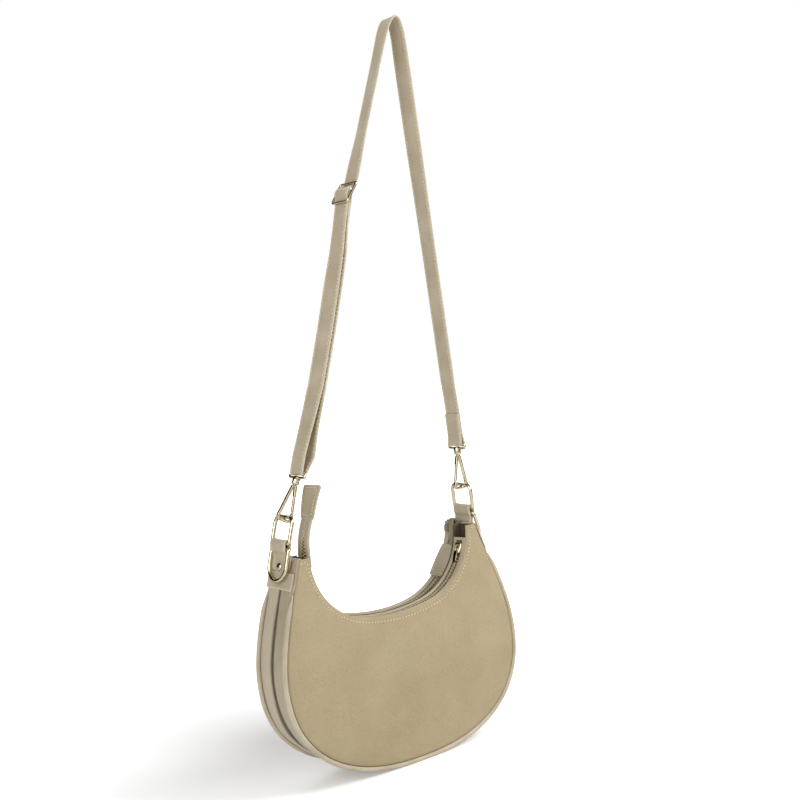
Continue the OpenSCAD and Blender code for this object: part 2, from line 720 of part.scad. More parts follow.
strap_route = concat(
    [by_right(sewn_l, -layer / 2), by_right(sewn_l / 3, -layer / 2), by_right(fold_r, -fold_r * 0.85)],
    turn(right_eye, fold_r, right_a - 180, right_a, 8),
    [by_right(fold_r, fold_r * 0.85), by_right(sewn_l / 3, layer / 2), by_right(sewn_l, layer / 2),
     by_right(sewn_l * 2, 0)],
    [for (i = [0:12]) blend(flip(arch), i / 12)],
    bend(buckle_half_l, under_r, buckle_tip, -cross_a, 5),
    bend(0, fixed_r + layer, 180 - cross_a, 180 + cross_a, 6),
    bend(-buckle_half_l, under_r, cross_a, buckle_tip, 3),
    [for (i = [leaf_n:-1:0]) leaf(i, 1)],
    turn(left_eye, fold_r, left_a, left_a + 180, 8),
    [for (i = [0:leaf_n]) leaf(i, -1)],
    bend(-buckle_half_l, under_r + layer, buckle_tip, cross_a, 3),
    bend(0, fixed_r, 180 + cross_a, tail_a, 8),
    bend(-buckle_half_l, under_r + layer * 2, tail_a, buckle_tip, 3),
    [by_left(buckle_s - buckle_half_l - tail_l, below_d - layer * 3)]);
module strap() {
    color(leather) bag() along_y(strap_w) polygon(ribbon(strap_route, strap_t));
}
module at_buckle() {
    bag() translate([buckle_at.x, 0, buckle_at.y]) rotate([0, buckle_lean, 0]) children();
}
module buckle_frame() {
    color(gold) at_buckle() translate([0, 0, -buckle_half_l])
        wire_frame(buckle_half_w * 2, buckle_half_l * 2, buckle_r, buckle_r, buckle_d / 2);
}
module buckle_bar() {
    color(gold) at_buckle() rotate([90, 0, 0])
        cylinder(r = buckle_d / 2, h = buckle_half_w * 2 - buckle_d - seat, center = true);
}

panel(front);  // front_panel
piping(front);  // front_piping
gusset(front);  // front_gusset
inner_wall(front);  // front_inner_wall
lining(front);  // front_lining
facings(front);  // front_facings
zip_tape(front);  // front_zip_tape
zip_teeth(front);  // front_zip_teeth
zip_tab(front);  // front_zip_tab
slider(front);  // front_slider
pull(front);  // front_pull
panel(rear);  // rear_panel
piping(rear);  // rear_piping
gusset(rear);  // rear_gusset
inner_wall(rear);  // rear_inner_wall
lining(rear);  // rear_lining
facings(rear);  // rear_facings
zip_tape(rear);  // rear_zip_tape
zip_teeth(rear);  // rear_zip_teeth
zip_tab(rear);  // rear_zip_tab
slider(rear);  // rear_slider
pull(rear);  // rear_pull
loop(left);  // left_loop
loop(right);  // right_loop
crosspiece(left);  // left_crosspiece
crosspiece(right);  // right_crosspiece
rivet(left);  // left_rivet
rivet(right);  // right_rivet
link(left);  // left_link
link(right);  // right_link
ring(left);  // left_ring
ring(right);  // right_ring
hook(left);  // left_hook
hook(right);  // right_hook
gate(left);  // left_gate
gate(right);  // right_gate
gate_pin(left);  // left_gate_pin
gate_pin(right);  // right_gate_pin
swivel_eye(left);  // left_swivel_eye
swivel_eye(right);  // right_swivel_eye
strap();
buckle_frame();
buckle_bar();
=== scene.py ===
# %% [markdown]
# # Half moon bag
# Two slim crescent pouches of suede are joined at their horns and hang on a leather strap with
# snap hooks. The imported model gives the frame: every piece below is made in its place in
# millimetres and turned to metres when its mesh is written. The sizes repeat the part's own.

# %% Load the frame
from math import atan2, cos, pi, radians, sin, tan

import bmesh
import bpy
import numpy as np
from mathutils import Matrix


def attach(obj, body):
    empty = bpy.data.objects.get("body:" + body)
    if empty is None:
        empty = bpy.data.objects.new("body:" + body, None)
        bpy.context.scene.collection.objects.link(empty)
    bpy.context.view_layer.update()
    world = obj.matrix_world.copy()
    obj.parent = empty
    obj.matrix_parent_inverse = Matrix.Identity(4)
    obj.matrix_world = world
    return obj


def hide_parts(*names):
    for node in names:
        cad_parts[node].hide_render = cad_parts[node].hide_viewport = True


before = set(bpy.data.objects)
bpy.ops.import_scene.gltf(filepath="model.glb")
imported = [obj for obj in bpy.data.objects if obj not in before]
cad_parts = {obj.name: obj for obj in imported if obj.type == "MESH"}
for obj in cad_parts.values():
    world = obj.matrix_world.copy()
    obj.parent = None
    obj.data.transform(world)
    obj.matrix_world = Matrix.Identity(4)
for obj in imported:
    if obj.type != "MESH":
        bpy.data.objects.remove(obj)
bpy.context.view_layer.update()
MM = 0.001
FRONT, REAR, LEFT, RIGHT = 1, -1, -1, 1

# %% [markdown]
# ## Camera
# The photograph looks at the bag from its front left and slightly from above, with the camera
# rolled a little. A field of 36.9 degrees and the place below put the horns, rings and buckle
# where the photograph shows them.

# %% Camera
YAW, PITCH, ROLL = radians(39.08), radians(3.16), radians(-3.93)
CAMERA_AT = np.array([-693.9, -887.7, 402.4])
look = np.array([sin(YAW) * cos(PITCH), cos(YAW) * cos(PITCH), -sin(PITCH)])
level = np.array([cos(YAW), -sin(YAW), 0])
above = np.cross(level, look)
camera_x = level * cos(ROLL) + above * sin(ROLL)
camera_y = -level * sin(ROLL) + above * cos(ROLL)
camera_data = bpy.data.cameras.new("camera")
camera_data.sensor_width = 36
camera_data.lens = 54
camera_data.clip_start = 0.01
camera = bpy.data.objects.new("camera", camera_data)
place = np.eye(4)
place[:3, 0], place[:3, 1], place[:3, 2], place[:3, 3] = camera_x, camera_y, -look, CAMERA_AT * MM
camera.matrix_world = Matrix(place.tolist())
bpy.context.scene.collection.objects.link(camera)
bpy.context.scene.camera = camera
bpy.context.scene.view_settings.view_transform = "Standard"
print("camera at, mm", CAMERA_AT)

# %% [markdown]
# ## Materials
# Everything soft is hide: suede with its nap for the panels, smooth matt leather for the straps,
# walls and tabs. The hardware is pale gold plate on zinc alloy. One helper turns a hex colour to
# linear light and another adds a node, so that each finish reads as a short list.

# %% Colour and node helpers
def linear(code, alpha=1.0):
    """Each sRGB channel is divided by 12.92 near black, and otherwise raised to the power 2.4."""
    channels = [int(code[i : i + 2], 16) / 255 for i in (1, 3, 5)]
    return [c / 12.92 if c <= 0.04045 else ((c + 0.055) / 1.055) ** 2.4 for c in channels] + [alpha]


def add(tree, kind, inputs=None, **settings):
    """Adds a node; an input is a value, or the output of another node."""
    node = tree.nodes.new(kind)
    for key, value in settings.items():
        setattr(node, key, value)
    for key, value in (inputs or {}).items():
        if isinstance(value, bpy.types.NodeSocket):
            tree.links.new(value, node.inputs[key])
        else:
            node.inputs[key].default_value = value
    return node


def finish_of(name, rough, metallic=0.0, **sockets):
    """A material with its Principled shader, its tree, and object coordinates in millimetres."""
    print("finish", name)
    material = bpy.data.materials.new(name)
    material.use_nodes = True
    tree = material.node_tree
    shader = tree.nodes["Principled BSDF"]
    shader.inputs["Roughness"].default_value = rough
    shader.inputs["Metallic"].default_value = metallic
    for key, value in sockets.items():
        shader.inputs[key.replace("_", " ")].default_value = value
    coords = add(tree, "ShaderNodeTexCoord").outputs["Object"]
    scaled = add(tree, "ShaderNodeVectorMath", {0: coords, 3: 1 / MM}, operation="SCALE").outputs[0]
    return material, tree, shader, scaled


def paint(tree, shader, colour):
    """Links a colour to the shader's base colour."""
    tree.links.new(colour, shader.inputs["Base Color"])


def noise(tree, where, grain, detail=2.0, rough=0.5):
    """Noise whose blobs are about `grain` millimetres wide."""
    return add(tree, "ShaderNodeTexNoise",
               {"Vector": where, "Scale": 0.5 / grain, "Detail": detail, "Roughness": rough}).outputs["Fac"]


def ramp(tree, value, stops):
    """A colour ramp; stops are pairs of place and hex colour."""
    node = add(tree, "ShaderNodeValToRGB", {"Fac": value})
    while len(node.color_ramp.elements) < len(stops):
        node.color_ramp.elements.new(0.5)
    for element, (at, code) in zip(node.color_ramp.elements, stops):
        element.position = at
        element.color = linear(code)
    return node.outputs["Color"]


def mixed(tree, share, a, b, blend="MIX"):
    """Mixes two colours."""
    node = add(tree, "ShaderNodeMix", {0: share, 6: a, 7: b}, data_type="RGBA", blend_type=blend)
    return node.outputs[2]


def edge_paint_and_painted_shade(tree, colour, edge_code=None):
    """Mixes in the edge paint's colour where the edge attribute is above 0; below 0 it paints shade in dark
    brown.
    """
    edge = add(tree, "ShaderNodeAttribute", attribute_name="edge").outputs["Fac"]
    if edge_code:
        colour = mixed(tree, edge, colour, linear(edge_code))
    # Painted shade: where the edge attribute is below 0, the colour goes towards dark brown.
    seam = add(tree, "ShaderNodeMath", {0: edge, 1: -0.8}, operation="MULTIPLY", use_clamp=True).outputs[0]
    return mixed(tree, seam, colour, linear("#2A2118"))


def bump(tree, shader, height, depth, strength=1.0, before=None):
    """Bump of `depth` millimetres from a height between 0 and 1."""
    node = add(tree, "ShaderNodeBump", {"Height": height, "Distance": depth * MM, "Strength": strength})
    if before is not None:
        tree.links.new(before, node.inputs["Normal"])
    tree.links.new(node.outputs[0], shader.inputs["Normal"])
    return node.outputs[0]

# %% [markdown]
# ### Suede
# Split cowhide, sanded to a nap. The eye sees broad clouds where the nap lies another way, a fine
# mottle of fibres and no gloss at all. Sheen gives the soft light edge of a napped hide. The
# fibres are a tenth of a millimetre; they are drawn four times as coarse so that they show.

# %% Suede
suede, tree, shader, where = finish_of("napped_split_suede", 0.95, Sheen_Weight=0.25, Sheen_Roughness=0.5)
shader.inputs["Specular IOR Level"].default_value = 0.15
shader.inputs["Sheen Tint"].default_value = linear("#E8DCC0")
clouds = ramp(tree, noise(tree, where, 26, 3, 0.55),
              [(0.30, "#AFA17F"), (0.45, "#B6A988"), (0.58, "#BDB090"), (0.74, "#C3B797")])
blush = mixed(tree, noise(tree, where, 40, 2), clouds, linear("#BAA98A"))
fibres = ramp(tree, noise(tree, where, 0.55, 4, 0.65),
              [(0.30, "#E4E1DC"), (0.50, "#F6F4F1"), (0.72, "#FFFFFF")])
# The suede gets painted shade in its seams and on faces turned away from the light.
paint(tree, shader, edge_paint_and_painted_shade(tree, mixed(tree, 1.0, blush, fibres, "MULTIPLY")))
bump(tree, shader, noise(tree, where, 0.35, 5, 0.7), 0.16, 0.6)

# %% [markdown]
# ### Smooth leather
# Full grain cowhide, matt finished and painted along its cut edges. It shows a tight pebble of
# about a millimetre and slow changes of tone. The mesh carries an attribute named edge. It is 1 on
# cut edges, where the edge paint is lighter; between 0 and 1 it paints a face lighter, as painted
# light; below 0 it paints shade, darker in seams, gaps and on faces turned away from the light.

# %% Smooth leather
def leather_of(name, low, mid, high, edge_code, grain=1.0, rough=0.5):
    """A leather with three tones, its grain in millimetres and the colour of its cut edge."""
    material, tree, shader, where = finish_of(name, rough, Sheen_Weight=0.06)
    shader.inputs["Specular IOR Level"].default_value = 0.35
    tone = ramp(tree, noise(tree, where, 14, 3), [(0.32, low), (0.5, mid), (0.68, high)])
    cells = add(tree, "ShaderNodeTexVoronoi", {"Vector": where, "Scale": 1 / grain},
                feature="SMOOTH_F1").outputs["Distance"]
    creases = ramp(tree, cells, [(0.0, "#FFFFFF"), (0.62, "#FAF8F6"), (0.95, "#DAD4CB")])
    body = mixed(tree, 1.0, tone, creases, "MULTIPLY")
    # Lighter edge paint on cut edges, and painted light and shade where the mesh marks them.
    paint(tree, shader, edge_paint_and_painted_shade(tree, body, edge_code))
    broad = bump(tree, shader, noise(tree, where, 5, 3), 0.25, 0.5)
    lifted = add(tree, "ShaderNodeMath", {0: 1.0, 1: cells}, operation="SUBTRACT").outputs[0]
    bump(tree, shader, lifted, 0.09, 0.7, broad)
    return material


leather = leather_of("matt_full_grain_leather", "#AFA28A", "#B9AD96", "#C1B69F", "#C3B8A1")
pale_leather = leather_of("pale_piping_leather", "#BDB199", "#C7BBA3", "#D0C5AE", "#D2C7B0", 0.8, 0.46)
strap_leather = leather_of("strap_leather", "#BAAE94", "#C3B69E", "#CBBFA8", "#D2C7B0", 0.9)

# %% [markdown]
# ### Metal, thread and cloth
# The hardware is polished, plated zinc: a mirror with a pale champagne tint and the slight haze of
# handling. The zip's teeth are the same plate, antiqued, so they are duller. Thread is bonded
# polyester, a few shades lighter than the hide. The tape is a herringbone weave, drawn as slanting
# ribs about 0.7 mm apart, and the lining a plain one, drawn as threads about 0.4 mm apart.

# %% Metal, thread and cloth
gold, tree, shader, where = finish_of("pale_gold_plate", 0.1, 1.0)
shader.inputs["Specular Tint"].default_value = linear("#4A3A26")
paint(tree, shader, ramp(tree, noise(tree, where, 6, 2), [(0.35, "#DDCFAA"), (0.65, "#EADFC2")]))
haze = add(tree, "ShaderNodeMapRange",
           {"Value": noise(tree, where, 2.5, 3), "To Min": 0.07, "To Max": 0.17})
tree.links.new(haze.outputs[0], shader.inputs["Roughness"])

teeth_metal, tree, shader, where = finish_of("antiqued_zip_metal", 0.35, 0.5)
paint(tree, shader, ramp(tree, noise(tree, where, 1.2), [(0.3, "#D2C294"), (0.7, "#EADCB2")]))

thread, tree, shader, where = finish_of("bonded_thread", 0.6, Sheen_Weight=0.1)
paint(tree, shader, ramp(tree, noise(tree, where, 3), [(0.3, "#DCD0B0"), (0.7, "#E8DEC2")]))

tape_cloth, tree, shader, where = finish_of("woven_zip_tape", 0.85)
weave = add(tree, "ShaderNodeTexWave", {"Vector": where, "Scale": 0.55, "Distortion": 1.5},
            bands_direction="DIAGONAL")
paint(tree, shader, ramp(tree, weave.outputs["Fac"], [(0.2, "#5E5439"), (0.8, "#7A6F52")]))
bump(tree, shader, weave.outputs["Fac"], 0.12)

lining_cloth, tree, shader, where = finish_of("plain_woven_lining", 0.9)
weave = add(tree, "ShaderNodeTexWave", {"Vector": where, "Scale": 0.8, "Distortion": 0.6})
paint(tree, shader, ramp(tree, weave.outputs["Fac"], [(0.2, "#352D20"), (0.8, "#4A4030")]))
bump(tree, shader, weave.outputs["Fac"], 0.08)

# %% [markdown]
# ## How pieces are made
# A sheet of leather is a grid of points with a thickness and two rounded edges. Wire is a ring
# carried along a path. Turned parts are a profile carried round an axis. A stitch is one small
# bead with a few dozen faces, repeated along a line as one mesh. Each of these is a formula on whole
# arrays, so a changed size moves every point of the piece with it.

# %% Mesh helpers
def length_unit(v):
    """Each vector divided by its length."""
    return v / np.maximum(np.linalg.norm(v, axis=-1, keepdims=True), 1e-9)


def strip_faces(n, k, ring=True, first=0):
    """Quads between n loops of k points, each loop closed when ring is true."""
    i, j = np.meshgrid(np.arange(n - 1), np.arange(k if ring else k - 1), indexing="ij")
    j2 = (j + 1) % k
    quads = np.stack([i * k + j, i * k + j2, (i + 1) * k + j2, (i + 1) * k + j], -1)
    return (quads.reshape(-1, 4) + first).tolist()


def piece(name, points, faces, material, body="bag", slot=None, stands_for=None, edge=None, sharp=55):
    """Writes one closed mesh in metres, with faces outward, puts it on the body it rides on and hides
    the imported node it stands for. Edges that turn by more than `sharp` degrees stay sharp."""
    mesh = bpy.data.meshes.new(name)
    mesh.from_pydata((np.asarray(points, float).reshape(-1, 3) * MM).tolist(), [], faces)
    if edge is not None:
        marks = mesh.attributes.new("edge", "FLOAT", "POINT")
        marks.data.foreach_set("value", np.asarray(edge, np.float32).ravel())
    shell = bmesh.new()
    shell.from_mesh(mesh)
    bmesh.ops.remove_doubles(shell, verts=shell.verts, dist=0.002 * MM)
    bmesh.ops.recalc_face_normals(shell, faces=shell.faces)
    shell.to_mesh(mesh)
    shell.free()
    mesh.shade_smooth()
    mesh.set_sharp_from_angle(angle=radians(sharp))
    mesh.materials.append(material)
    made = bpy.data.objects.new(name, mesh)
    bpy.context.scene.collection.objects.link(made)
    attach(made, body)
    if stands_for:
        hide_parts(stands_for)
    print("piece", name, len(mesh.polygons), "faces")


def length_along(path):
    """Length from the start of a polyline to each of its points: the sum of the steps before it."""
    return np.concatenate([[0], np.cumsum(np.linalg.norm(np.diff(path, axis=0), axis=1))])


def resample(path, n):
    """n points evenly spaced by length along a polyline."""
    path = np.asarray(path, float)
    s = length_along(path)
    even = np.linspace(0, s[-1], n)
    return np.stack([np.interp(even, s, values) for values in path.T], 1)


def eased(path, rounds):
    """Each inner point moves to the mean of itself and its two neighbours, several times over."""
    path = np.array(path, float)
    for _ in range(rounds):
        path[1:-1] = path[1:-1] / 2 + (path[:-2] + path[2:]) / 4
    return path


def smooth(t):
    """From 0 to 1 with level ends: 3 t squared less 2 t cubed."""
    t = np.clip(t, 0, 1)
    return t * t * (3 - 2 * t)


def slab(top, thick, steps=3, turn=1):
    """A closed sheet. The grid `top` (rows, columns) is the face that shows, the other one lies
    `thick` behind it along the normal, which `turn` reverses, and half circles close the two edges
    along the rows. Returns points, faces and a mark that is 1 on the cut edges."""
    top = np.asarray(top, float)
    across = np.gradient(top, axis=1)
    out = turn * length_unit(np.cross(np.gradient(top, axis=0), across))
    under = top - out * thick
    n, m = top.shape[:2]
    rings = []
    for column, way in ((m - 1, 1), (0, -1)):
        beyond = way * length_unit(across[:, column])
        centre = top[:, column] - out[:, column] * thick / 2
        for a in np.linspace(pi / 2, -pi / 2, steps + 2)[1:-1] * (1 if column else -1):
            rings.append(centre + (out[:, column] * sin(a) + beyond * cos(a)) * thick / 2)
    right, left = rings[:steps], rings[steps:]
    loop = np.concatenate([top, np.stack(right, 1), under[:, ::-1], np.stack(left, 1)], 1)
    k = loop.shape[1]
    edge = np.zeros(k)
    edge[m - 1 : m + steps + 1] = 1
    edge[2 * m + steps - 1 :] = 1
    edge[0] = 1
    faces = strip_faces(n, k)
    for a in (0, (n - 1) * k):
        b = a + 2 * m + steps - 1
        faces += [[a + j, a + j + 1, b - 1 - j, b - j] for j in range(m - 1)]
        faces.append([a + m - 1 + j for j in range(steps + 2)])
        faces.append([b + j for j in range(steps + 1)] + [a])
    marks = np.tile(edge, (n, 1))
    marks[0], marks[-1] = 1, 1
    return loop.reshape(-1, 3), faces, marks.ravel()


def with_painted_shade(marks, columns, first=None, last=None, back=None, steps=3):
    """Paints shade on a slab's first column, its last one or its back by setting their marks below 0; its
    depth may differ by row.
    """
    marks = marks.reshape(-1, 2 * columns + 2 * steps).copy()
    end = 2 * columns + steps
    for shade, place in ((first, [0, *range(end, end + steps)]),
                         (last, range(columns - 1, columns + steps)),
                         (back, range(columns + steps, end))):
        if shade is not None:
            marks[:, list(place)] = -np.reshape(shade, (-1, 1))
    return marks.ravel()


def sweep(path, profile, up, closed=False, scale=None, domes=True):
    """A closed profile (points of side, up) carried along a path whose upward direction is given.
    Open ends are closed by shrinking the profile along a quarter circle."""
    path = np.asarray(path, float)
    profile = np.asarray(profile, float)
    scale = np.ones(len(path)) if scale is None else np.asarray(scale, float)
    if closed:
        ahead = length_unit(np.roll(path, -1, 0) - np.roll(path, 1, 0))
    else:
        ahead = length_unit(np.gradient(path, axis=0))
    up = np.broadcast_to(np.asarray(up, float), path.shape)
    lift = length_unit(up - (up * ahead).sum(1, keepdims=True) * ahead)
    side = np.cross(ahead, lift)
    if not closed and domes:
        reach = np.abs(profile).max()
        turns = np.linspace(0, pi / 2, 5)[1:]
        head = [path[0] - ahead[0] * reach * sin(a) for a in turns[::-1]]
        tail = [path[-1] + ahead[-1] * reach * sin(a) for a in turns]
        path = np.concatenate([head, path, tail])
        shrink = np.maximum(np.cos(turns), 0.001)
        scale = np.concatenate([scale[0] * shrink[::-1], scale, scale[-1] * shrink])
        side, lift = (np.concatenate([np.repeat(v[:1], 4, 0), v, np.repeat(v[-1:], 4, 0)])
                      for v in (side, lift))
    rings = path[:, None] + scale[:, None, None] * (
        profile[None, :, :1] * side[:, None] + profile[None, :, 1:] * lift[:, None])
    n, k = rings.shape[:2]
    if closed:
        rings = np.concatenate([rings, rings[:1]])
        return rings.reshape(-1, 3), strip_faces(n + 1, k)
    caps = [list(range(k))[::-1], [(n - 1) * k + j for j in range(k)]]
    return rings.reshape(-1, 3), strip_faces(n, k) + caps


def circle(r, sides=20):
    """Points of a circle."""
    a = np.arange(sides) * 2 * pi / sides
    return np.stack([r * np.cos(a), r * np.sin(a)], 1)


def rounded_bar(w, h, r, steps=4):
    """Points of a rectangle w by h with corners of radius r."""
    a = np.linspace(0, pi / 2, steps + 1)
    corners = [(w / 2 - r, h / 2 - r, 0), (r - w / 2, h / 2 - r, pi / 2), (r - w / 2, r - h / 2, pi),
               (w / 2 - r, r - h / 2, 3 * pi / 2)]
    return np.concatenate([np.stack([x + r * np.cos(a + t), y + r * np.sin(a + t)], 1)
                           for x, y, t in corners])


def lathe(profile, steps=40):
    """A profile (radius, height) carried round the Z axis; each loop is one height."""
    profile = np.asarray(profile, float)
    a = np.arange(steps) * 2 * pi / steps
    rings = np.stack([profile[:, :1] * np.cos(a), profile[:, :1] * np.sin(a),
                      np.repeat(profile[:, 1:], steps, 1)], -1)
    n = len(profile)
    caps = []
    if profile[0, 0] > 0:
        caps.append(list(range(steps)))
    if profile[-1, 0] > 0:
        caps.append([(n - 1) * steps + j for j in range(steps)])
    return rings.reshape(-1, 3), strip_faces(n, steps) + caps


def joined(*parts):
    """Several point and face lists as one; each list counts on from the points before it."""
    points, faces, first = [], [], 0
    for p, f in parts:
        p = np.asarray(p, float).reshape(-1, 3)
        points.append(p)
        faces += [[i + first for i in face] for face in f]
        first += len(p)
    return np.concatenate(points), faces


BEAD_ALONG, BEAD_FAT = np.array([-1, -0.72, -0.25, 0.25, 0.72, 1]), np.array([0.15, 0.8, 1, 1, 0.8, 0.15])


def beads(centre, ahead, out, half_l, r, arch=0.9, sides=6):
    """One bead for each centre: six rings along `ahead`, bowed `arch` radii out at the middle."""
    ahead, out = length_unit(ahead), length_unit(out)
    side = length_unit(np.cross(ahead, out))
    out = np.cross(side, ahead)
    a = np.arange(sides) * 2 * pi / sides
    along, fat = BEAD_ALONG, BEAD_FAT
    x = np.repeat(along * half_l, sides)
    s = (fat[:, None] * r * np.cos(a)).ravel()
    o = (fat[:, None] * r * np.sin(a) + r * arch * (0.5 - along[:, None] ** 2)).ravel()
    points = (centre[:, None] + x[None, :, None] * ahead[:, None] + s[None, :, None] * side[:, None]
              + o[None, :, None] * out[:, None])
    k = len(along) * sides
    one = strip_faces(len(along), sides) + [list(range(sides))[::-1], [k - sides + j for j in range(sides)]]
    sizes = np.arange(len(centre)) * k
    quads = np.array([f for f in one if len(f) == 4])
    caps = np.array([f for f in one if len(f) != 4])
    faces = (quads[None] + sizes[:, None, None]).reshape(-1, 4).tolist()
    faces += (caps[None] + sizes[:, None, None]).reshape(-1, sides).tolist()
    return points.reshape(-1, 3), faces


def stitch_row(line, out, pitch=3.3, half_l=1.15, r=0.36, lift=0.05):
    """Stitches at an even pitch along a line that lies on a surface whose outward direction is given."""
    line = np.asarray(line, float)
    total = length_along(line)[-1]
    n = max(int(total / pitch), 1)
    spots = resample(np.concatenate([line, np.broadcast_to(out, line.shape)], 1)[:, :3], 2 * n + 1)[1::2]
    s = length_along(line)
    want = (np.arange(n) + 0.5) * total / n
    normal = np.stack([np.interp(want, s, np.broadcast_to(out, line.shape)[:, c]) for c in range(3)], 1)
    ahead = np.gradient(resample(line, 2 * n + 1), axis=0)[1::2]
    return beads(spots + length_unit(normal) * lift, ahead, normal, half_l, r)

# %% [markdown]
# ## Outline of a pouch
# Seen from the front, the outer edge is a superellipse below the widest height and a smooth curve
# above it that narrows to the horn. The rim is three arcs. Hide that hangs from its horns shifts
# sideways as it settles, so the belly sags to one side and the rim stays.

# %% Sizes and outlines
BODY_W, HORN_Z, BELLY_Z, HORN_W, POUCH_T, BELLY_SWELL, POUCH_GAP = 270, 211, 101, 12, 20, 1, 1
LEANS = {FRONT: radians(2.4), REAR: radians(-0.2)}
SAG, PANEL_T, WALL_T, PIPING_D, PIPING_TOP_Z = 12.5, 1.6, 1.2, 4.5, 184
RIM_HALF, RIM_DROP, RIM_SIDE_R, ZIP_SLOT, TOOTH_PITCH = 93.5, 68, 65, 9.2, 3
CLEAR, SEAT, FLOOR_CUT = 0.3, 0.1, 0.5
HORN_X, HORN_SLANT = RIM_HALF + HORN_W, radians(16)
# HIDDEN_SHADE is how deep the shade painted on the backs of sheets goes.
RIM_SEAM, HIDDEN_SHADE = 4.2, 0.95
BELLY_SHARE = 2 / 2.33
PIPING_Y = PIPING_D / 2 - 1
BAG = np.array([-SAG * (1 - BELLY_Z / HORN_Z), 0, 0])
BAG[1] = (HORN_Z * sin(LEANS[FRONT]) - PIPING_Y * cos(LEANS[FRONT]) + PIPING_D / 2) / 2
ZIP_Y = POUCH_T / 2 + 0.6
RIM_C = RIM_HALF - RIM_SIDE_R
RIM_MID_R = (RIM_C ** 2 + RIM_DROP ** 2 - RIM_SIDE_R ** 2) / (2 * (RIM_DROP - RIM_SIDE_R))
RIM_MID_A = np.arcsin(RIM_C / (RIM_MID_R - RIM_SIDE_R))
ZIP_END_A = radians(77)


def bezier(p, n):
    """A cubic curve through four control points."""
    t = np.linspace(0, 1, n)[:, None]
    p = np.asarray(p, float)
    return p[0] * (1 - t) ** 3 + 3 * p[1] * t * (1 - t) ** 2 + 3 * p[2] * t ** 2 * (1 - t) + p[3] * t ** 3


def outline(sag_way, n=301):
    """The outer edge from the left horn, round the belly, to the right horn, as x and z."""
    a = np.linspace(0, pi / 2, 241)
    low = np.stack([BODY_W / 2 * np.sin(a) ** BELLY_SHARE,
                    BELLY_Z - (BELLY_Z - PIPING_D - SEAT) * np.cos(a) ** BELLY_SHARE], 1)
    reach = HORN_Z - BELLY_Z
    high = bezier([[BODY_W / 2, BELLY_Z], [BODY_W / 2, BELLY_Z + 0.32 * reach],
                   [HORN_X + 0.33 * reach * sin(HORN_SLANT), HORN_Z - 0.33 * reach * cos(HORN_SLANT)],
                   [HORN_X, HORN_Z]], 121)
    half = np.concatenate([low, high[1:]])
    whole = np.concatenate([half[::-1] * [-1, 1], half[1:]])
    whole[:, 0] += sag_way * SAG * (1 - whole[:, 1] / HORN_Z)
    return eased(resample(whole, n), 6)


def rim_line(n=301, last=pi / 2):
    """The rim from the left horn to the angle `last` of the right side arc, as x and z."""
    a = np.linspace(pi / 2, RIM_MID_A, 160)
    left_arc = np.stack([-RIM_C - RIM_SIDE_R * np.sin(a), HORN_Z - RIM_SIDE_R * np.cos(a)], 1)
    b = np.linspace(-RIM_MID_A, RIM_MID_A, 160)[1:-1]
    low = HORN_Z - RIM_DROP + RIM_MID_R
    middle = np.stack([RIM_MID_R * np.sin(b), low - RIM_MID_R * np.cos(b)], 1)
    c = np.linspace(RIM_MID_A, last, 160)
    right_arc = np.stack([RIM_C + RIM_SIDE_R * np.sin(c), HORN_Z - RIM_SIDE_R * np.cos(c)], 1)
    return resample(np.concatenate([left_arc, middle, right_arc]), n)


def shifted(line, d):
    """A line in the plane moved by d to the right of its way, which is out of the pouch's belly."""
    way = length_unit(np.gradient(line, axis=0))
    return line + np.asarray(d)[..., None] * np.stack([way[:, 1], -way[:, 0]], 1)


def depth_at(z):
    """Depth of a pouch at a height."""
    return POUCH_T + BELLY_SWELL * (1 - z / HORN_Z)


def slumped(p):
    """The rear rim has slid back from the front one, most beside the right horn, and the hide under it
    follows less and less."""
    x, z = p[..., 0], p[..., 2]
    fall = np.minimum(z - HORN_Z, 0)
    d = 75 * (np.hypot(x / RIM_HALF, fall / RIM_DROP) - 1)
    way = length_unit(np.stack([x / RIM_HALF ** 2, 0 * x, fall / RIM_DROP ** 2], -1))
    near = np.clip(1 - np.maximum(d, 0) / (14 - 0.6 * np.maximum(fall, -70)), 0, 1) ** 2
    return p + (7.5 * smooth((100 - x) / 200) * near)[..., None] * way


def stand(points, side):
    """Stands a pouch up: it leans about its horns, and the rear one is turned about."""
    p = np.asarray(points, float)
    if side == REAR:
        p = slumped(p)
    lean = LEANS[side]
    up = p[..., 2] - HORN_Z
    y = p[..., 1] * cos(lean) + up * sin(lean) - POUCH_GAP / 2 - POUCH_T
    z = -p[..., 1] * sin(lean) + up * cos(lean) + HORN_Z * cos(lean) - FLOOR_CUT
    return np.stack([side * p[..., 0] + BAG[0], side * y + BAG[1], z], -1)


def lifted_from_floor(points):
    """Nothing goes below the floor."""
    points = np.array(points)
    points[..., 2] = np.maximum(points[..., 2], 0)
    return points


def with_y(line, y=0):
    """Points of a plane line, which gives x and z, put at depth y."""
    return np.stack([line[:, 0], np.broadcast_to(y, line.shape[:1]), line[:, 1]], 1)


def end_on(line):
    """A plane line turned so that it runs across the bag: its first value becomes the depth."""
    return np.stack([0 * line[:, 0], line[:, 0], line[:, 1]], 1)


def grid_on(line, normal, rise, y):
    """A grid along a plane line. Each column stands at its own depth y, and is moved along the
    line's normal by its rise."""
    x = line[:, None, 0] + normal[:, None, 0] * rise
    z = line[:, None, 1] + normal[:, None, 1] * rise
    return np.stack(np.broadcast_arrays(x, y, z), -1)


def way_of(placed, way, *where):
    """What a direction becomes where a function puts the points: its end less its start."""
    return placed([way], *where)[0] - placed([[0, 0, 0]], *where)[0]

# %% [markdown]
# ## Suede panels
# A panel is one crescent of hide. It is a grid that runs from horn to horn one way and from the
# rim to the piping the other way. It crowns a little, rolls in at the rim, dives under the piping,
# and the slow waves on it are those of hide over a soft lining.

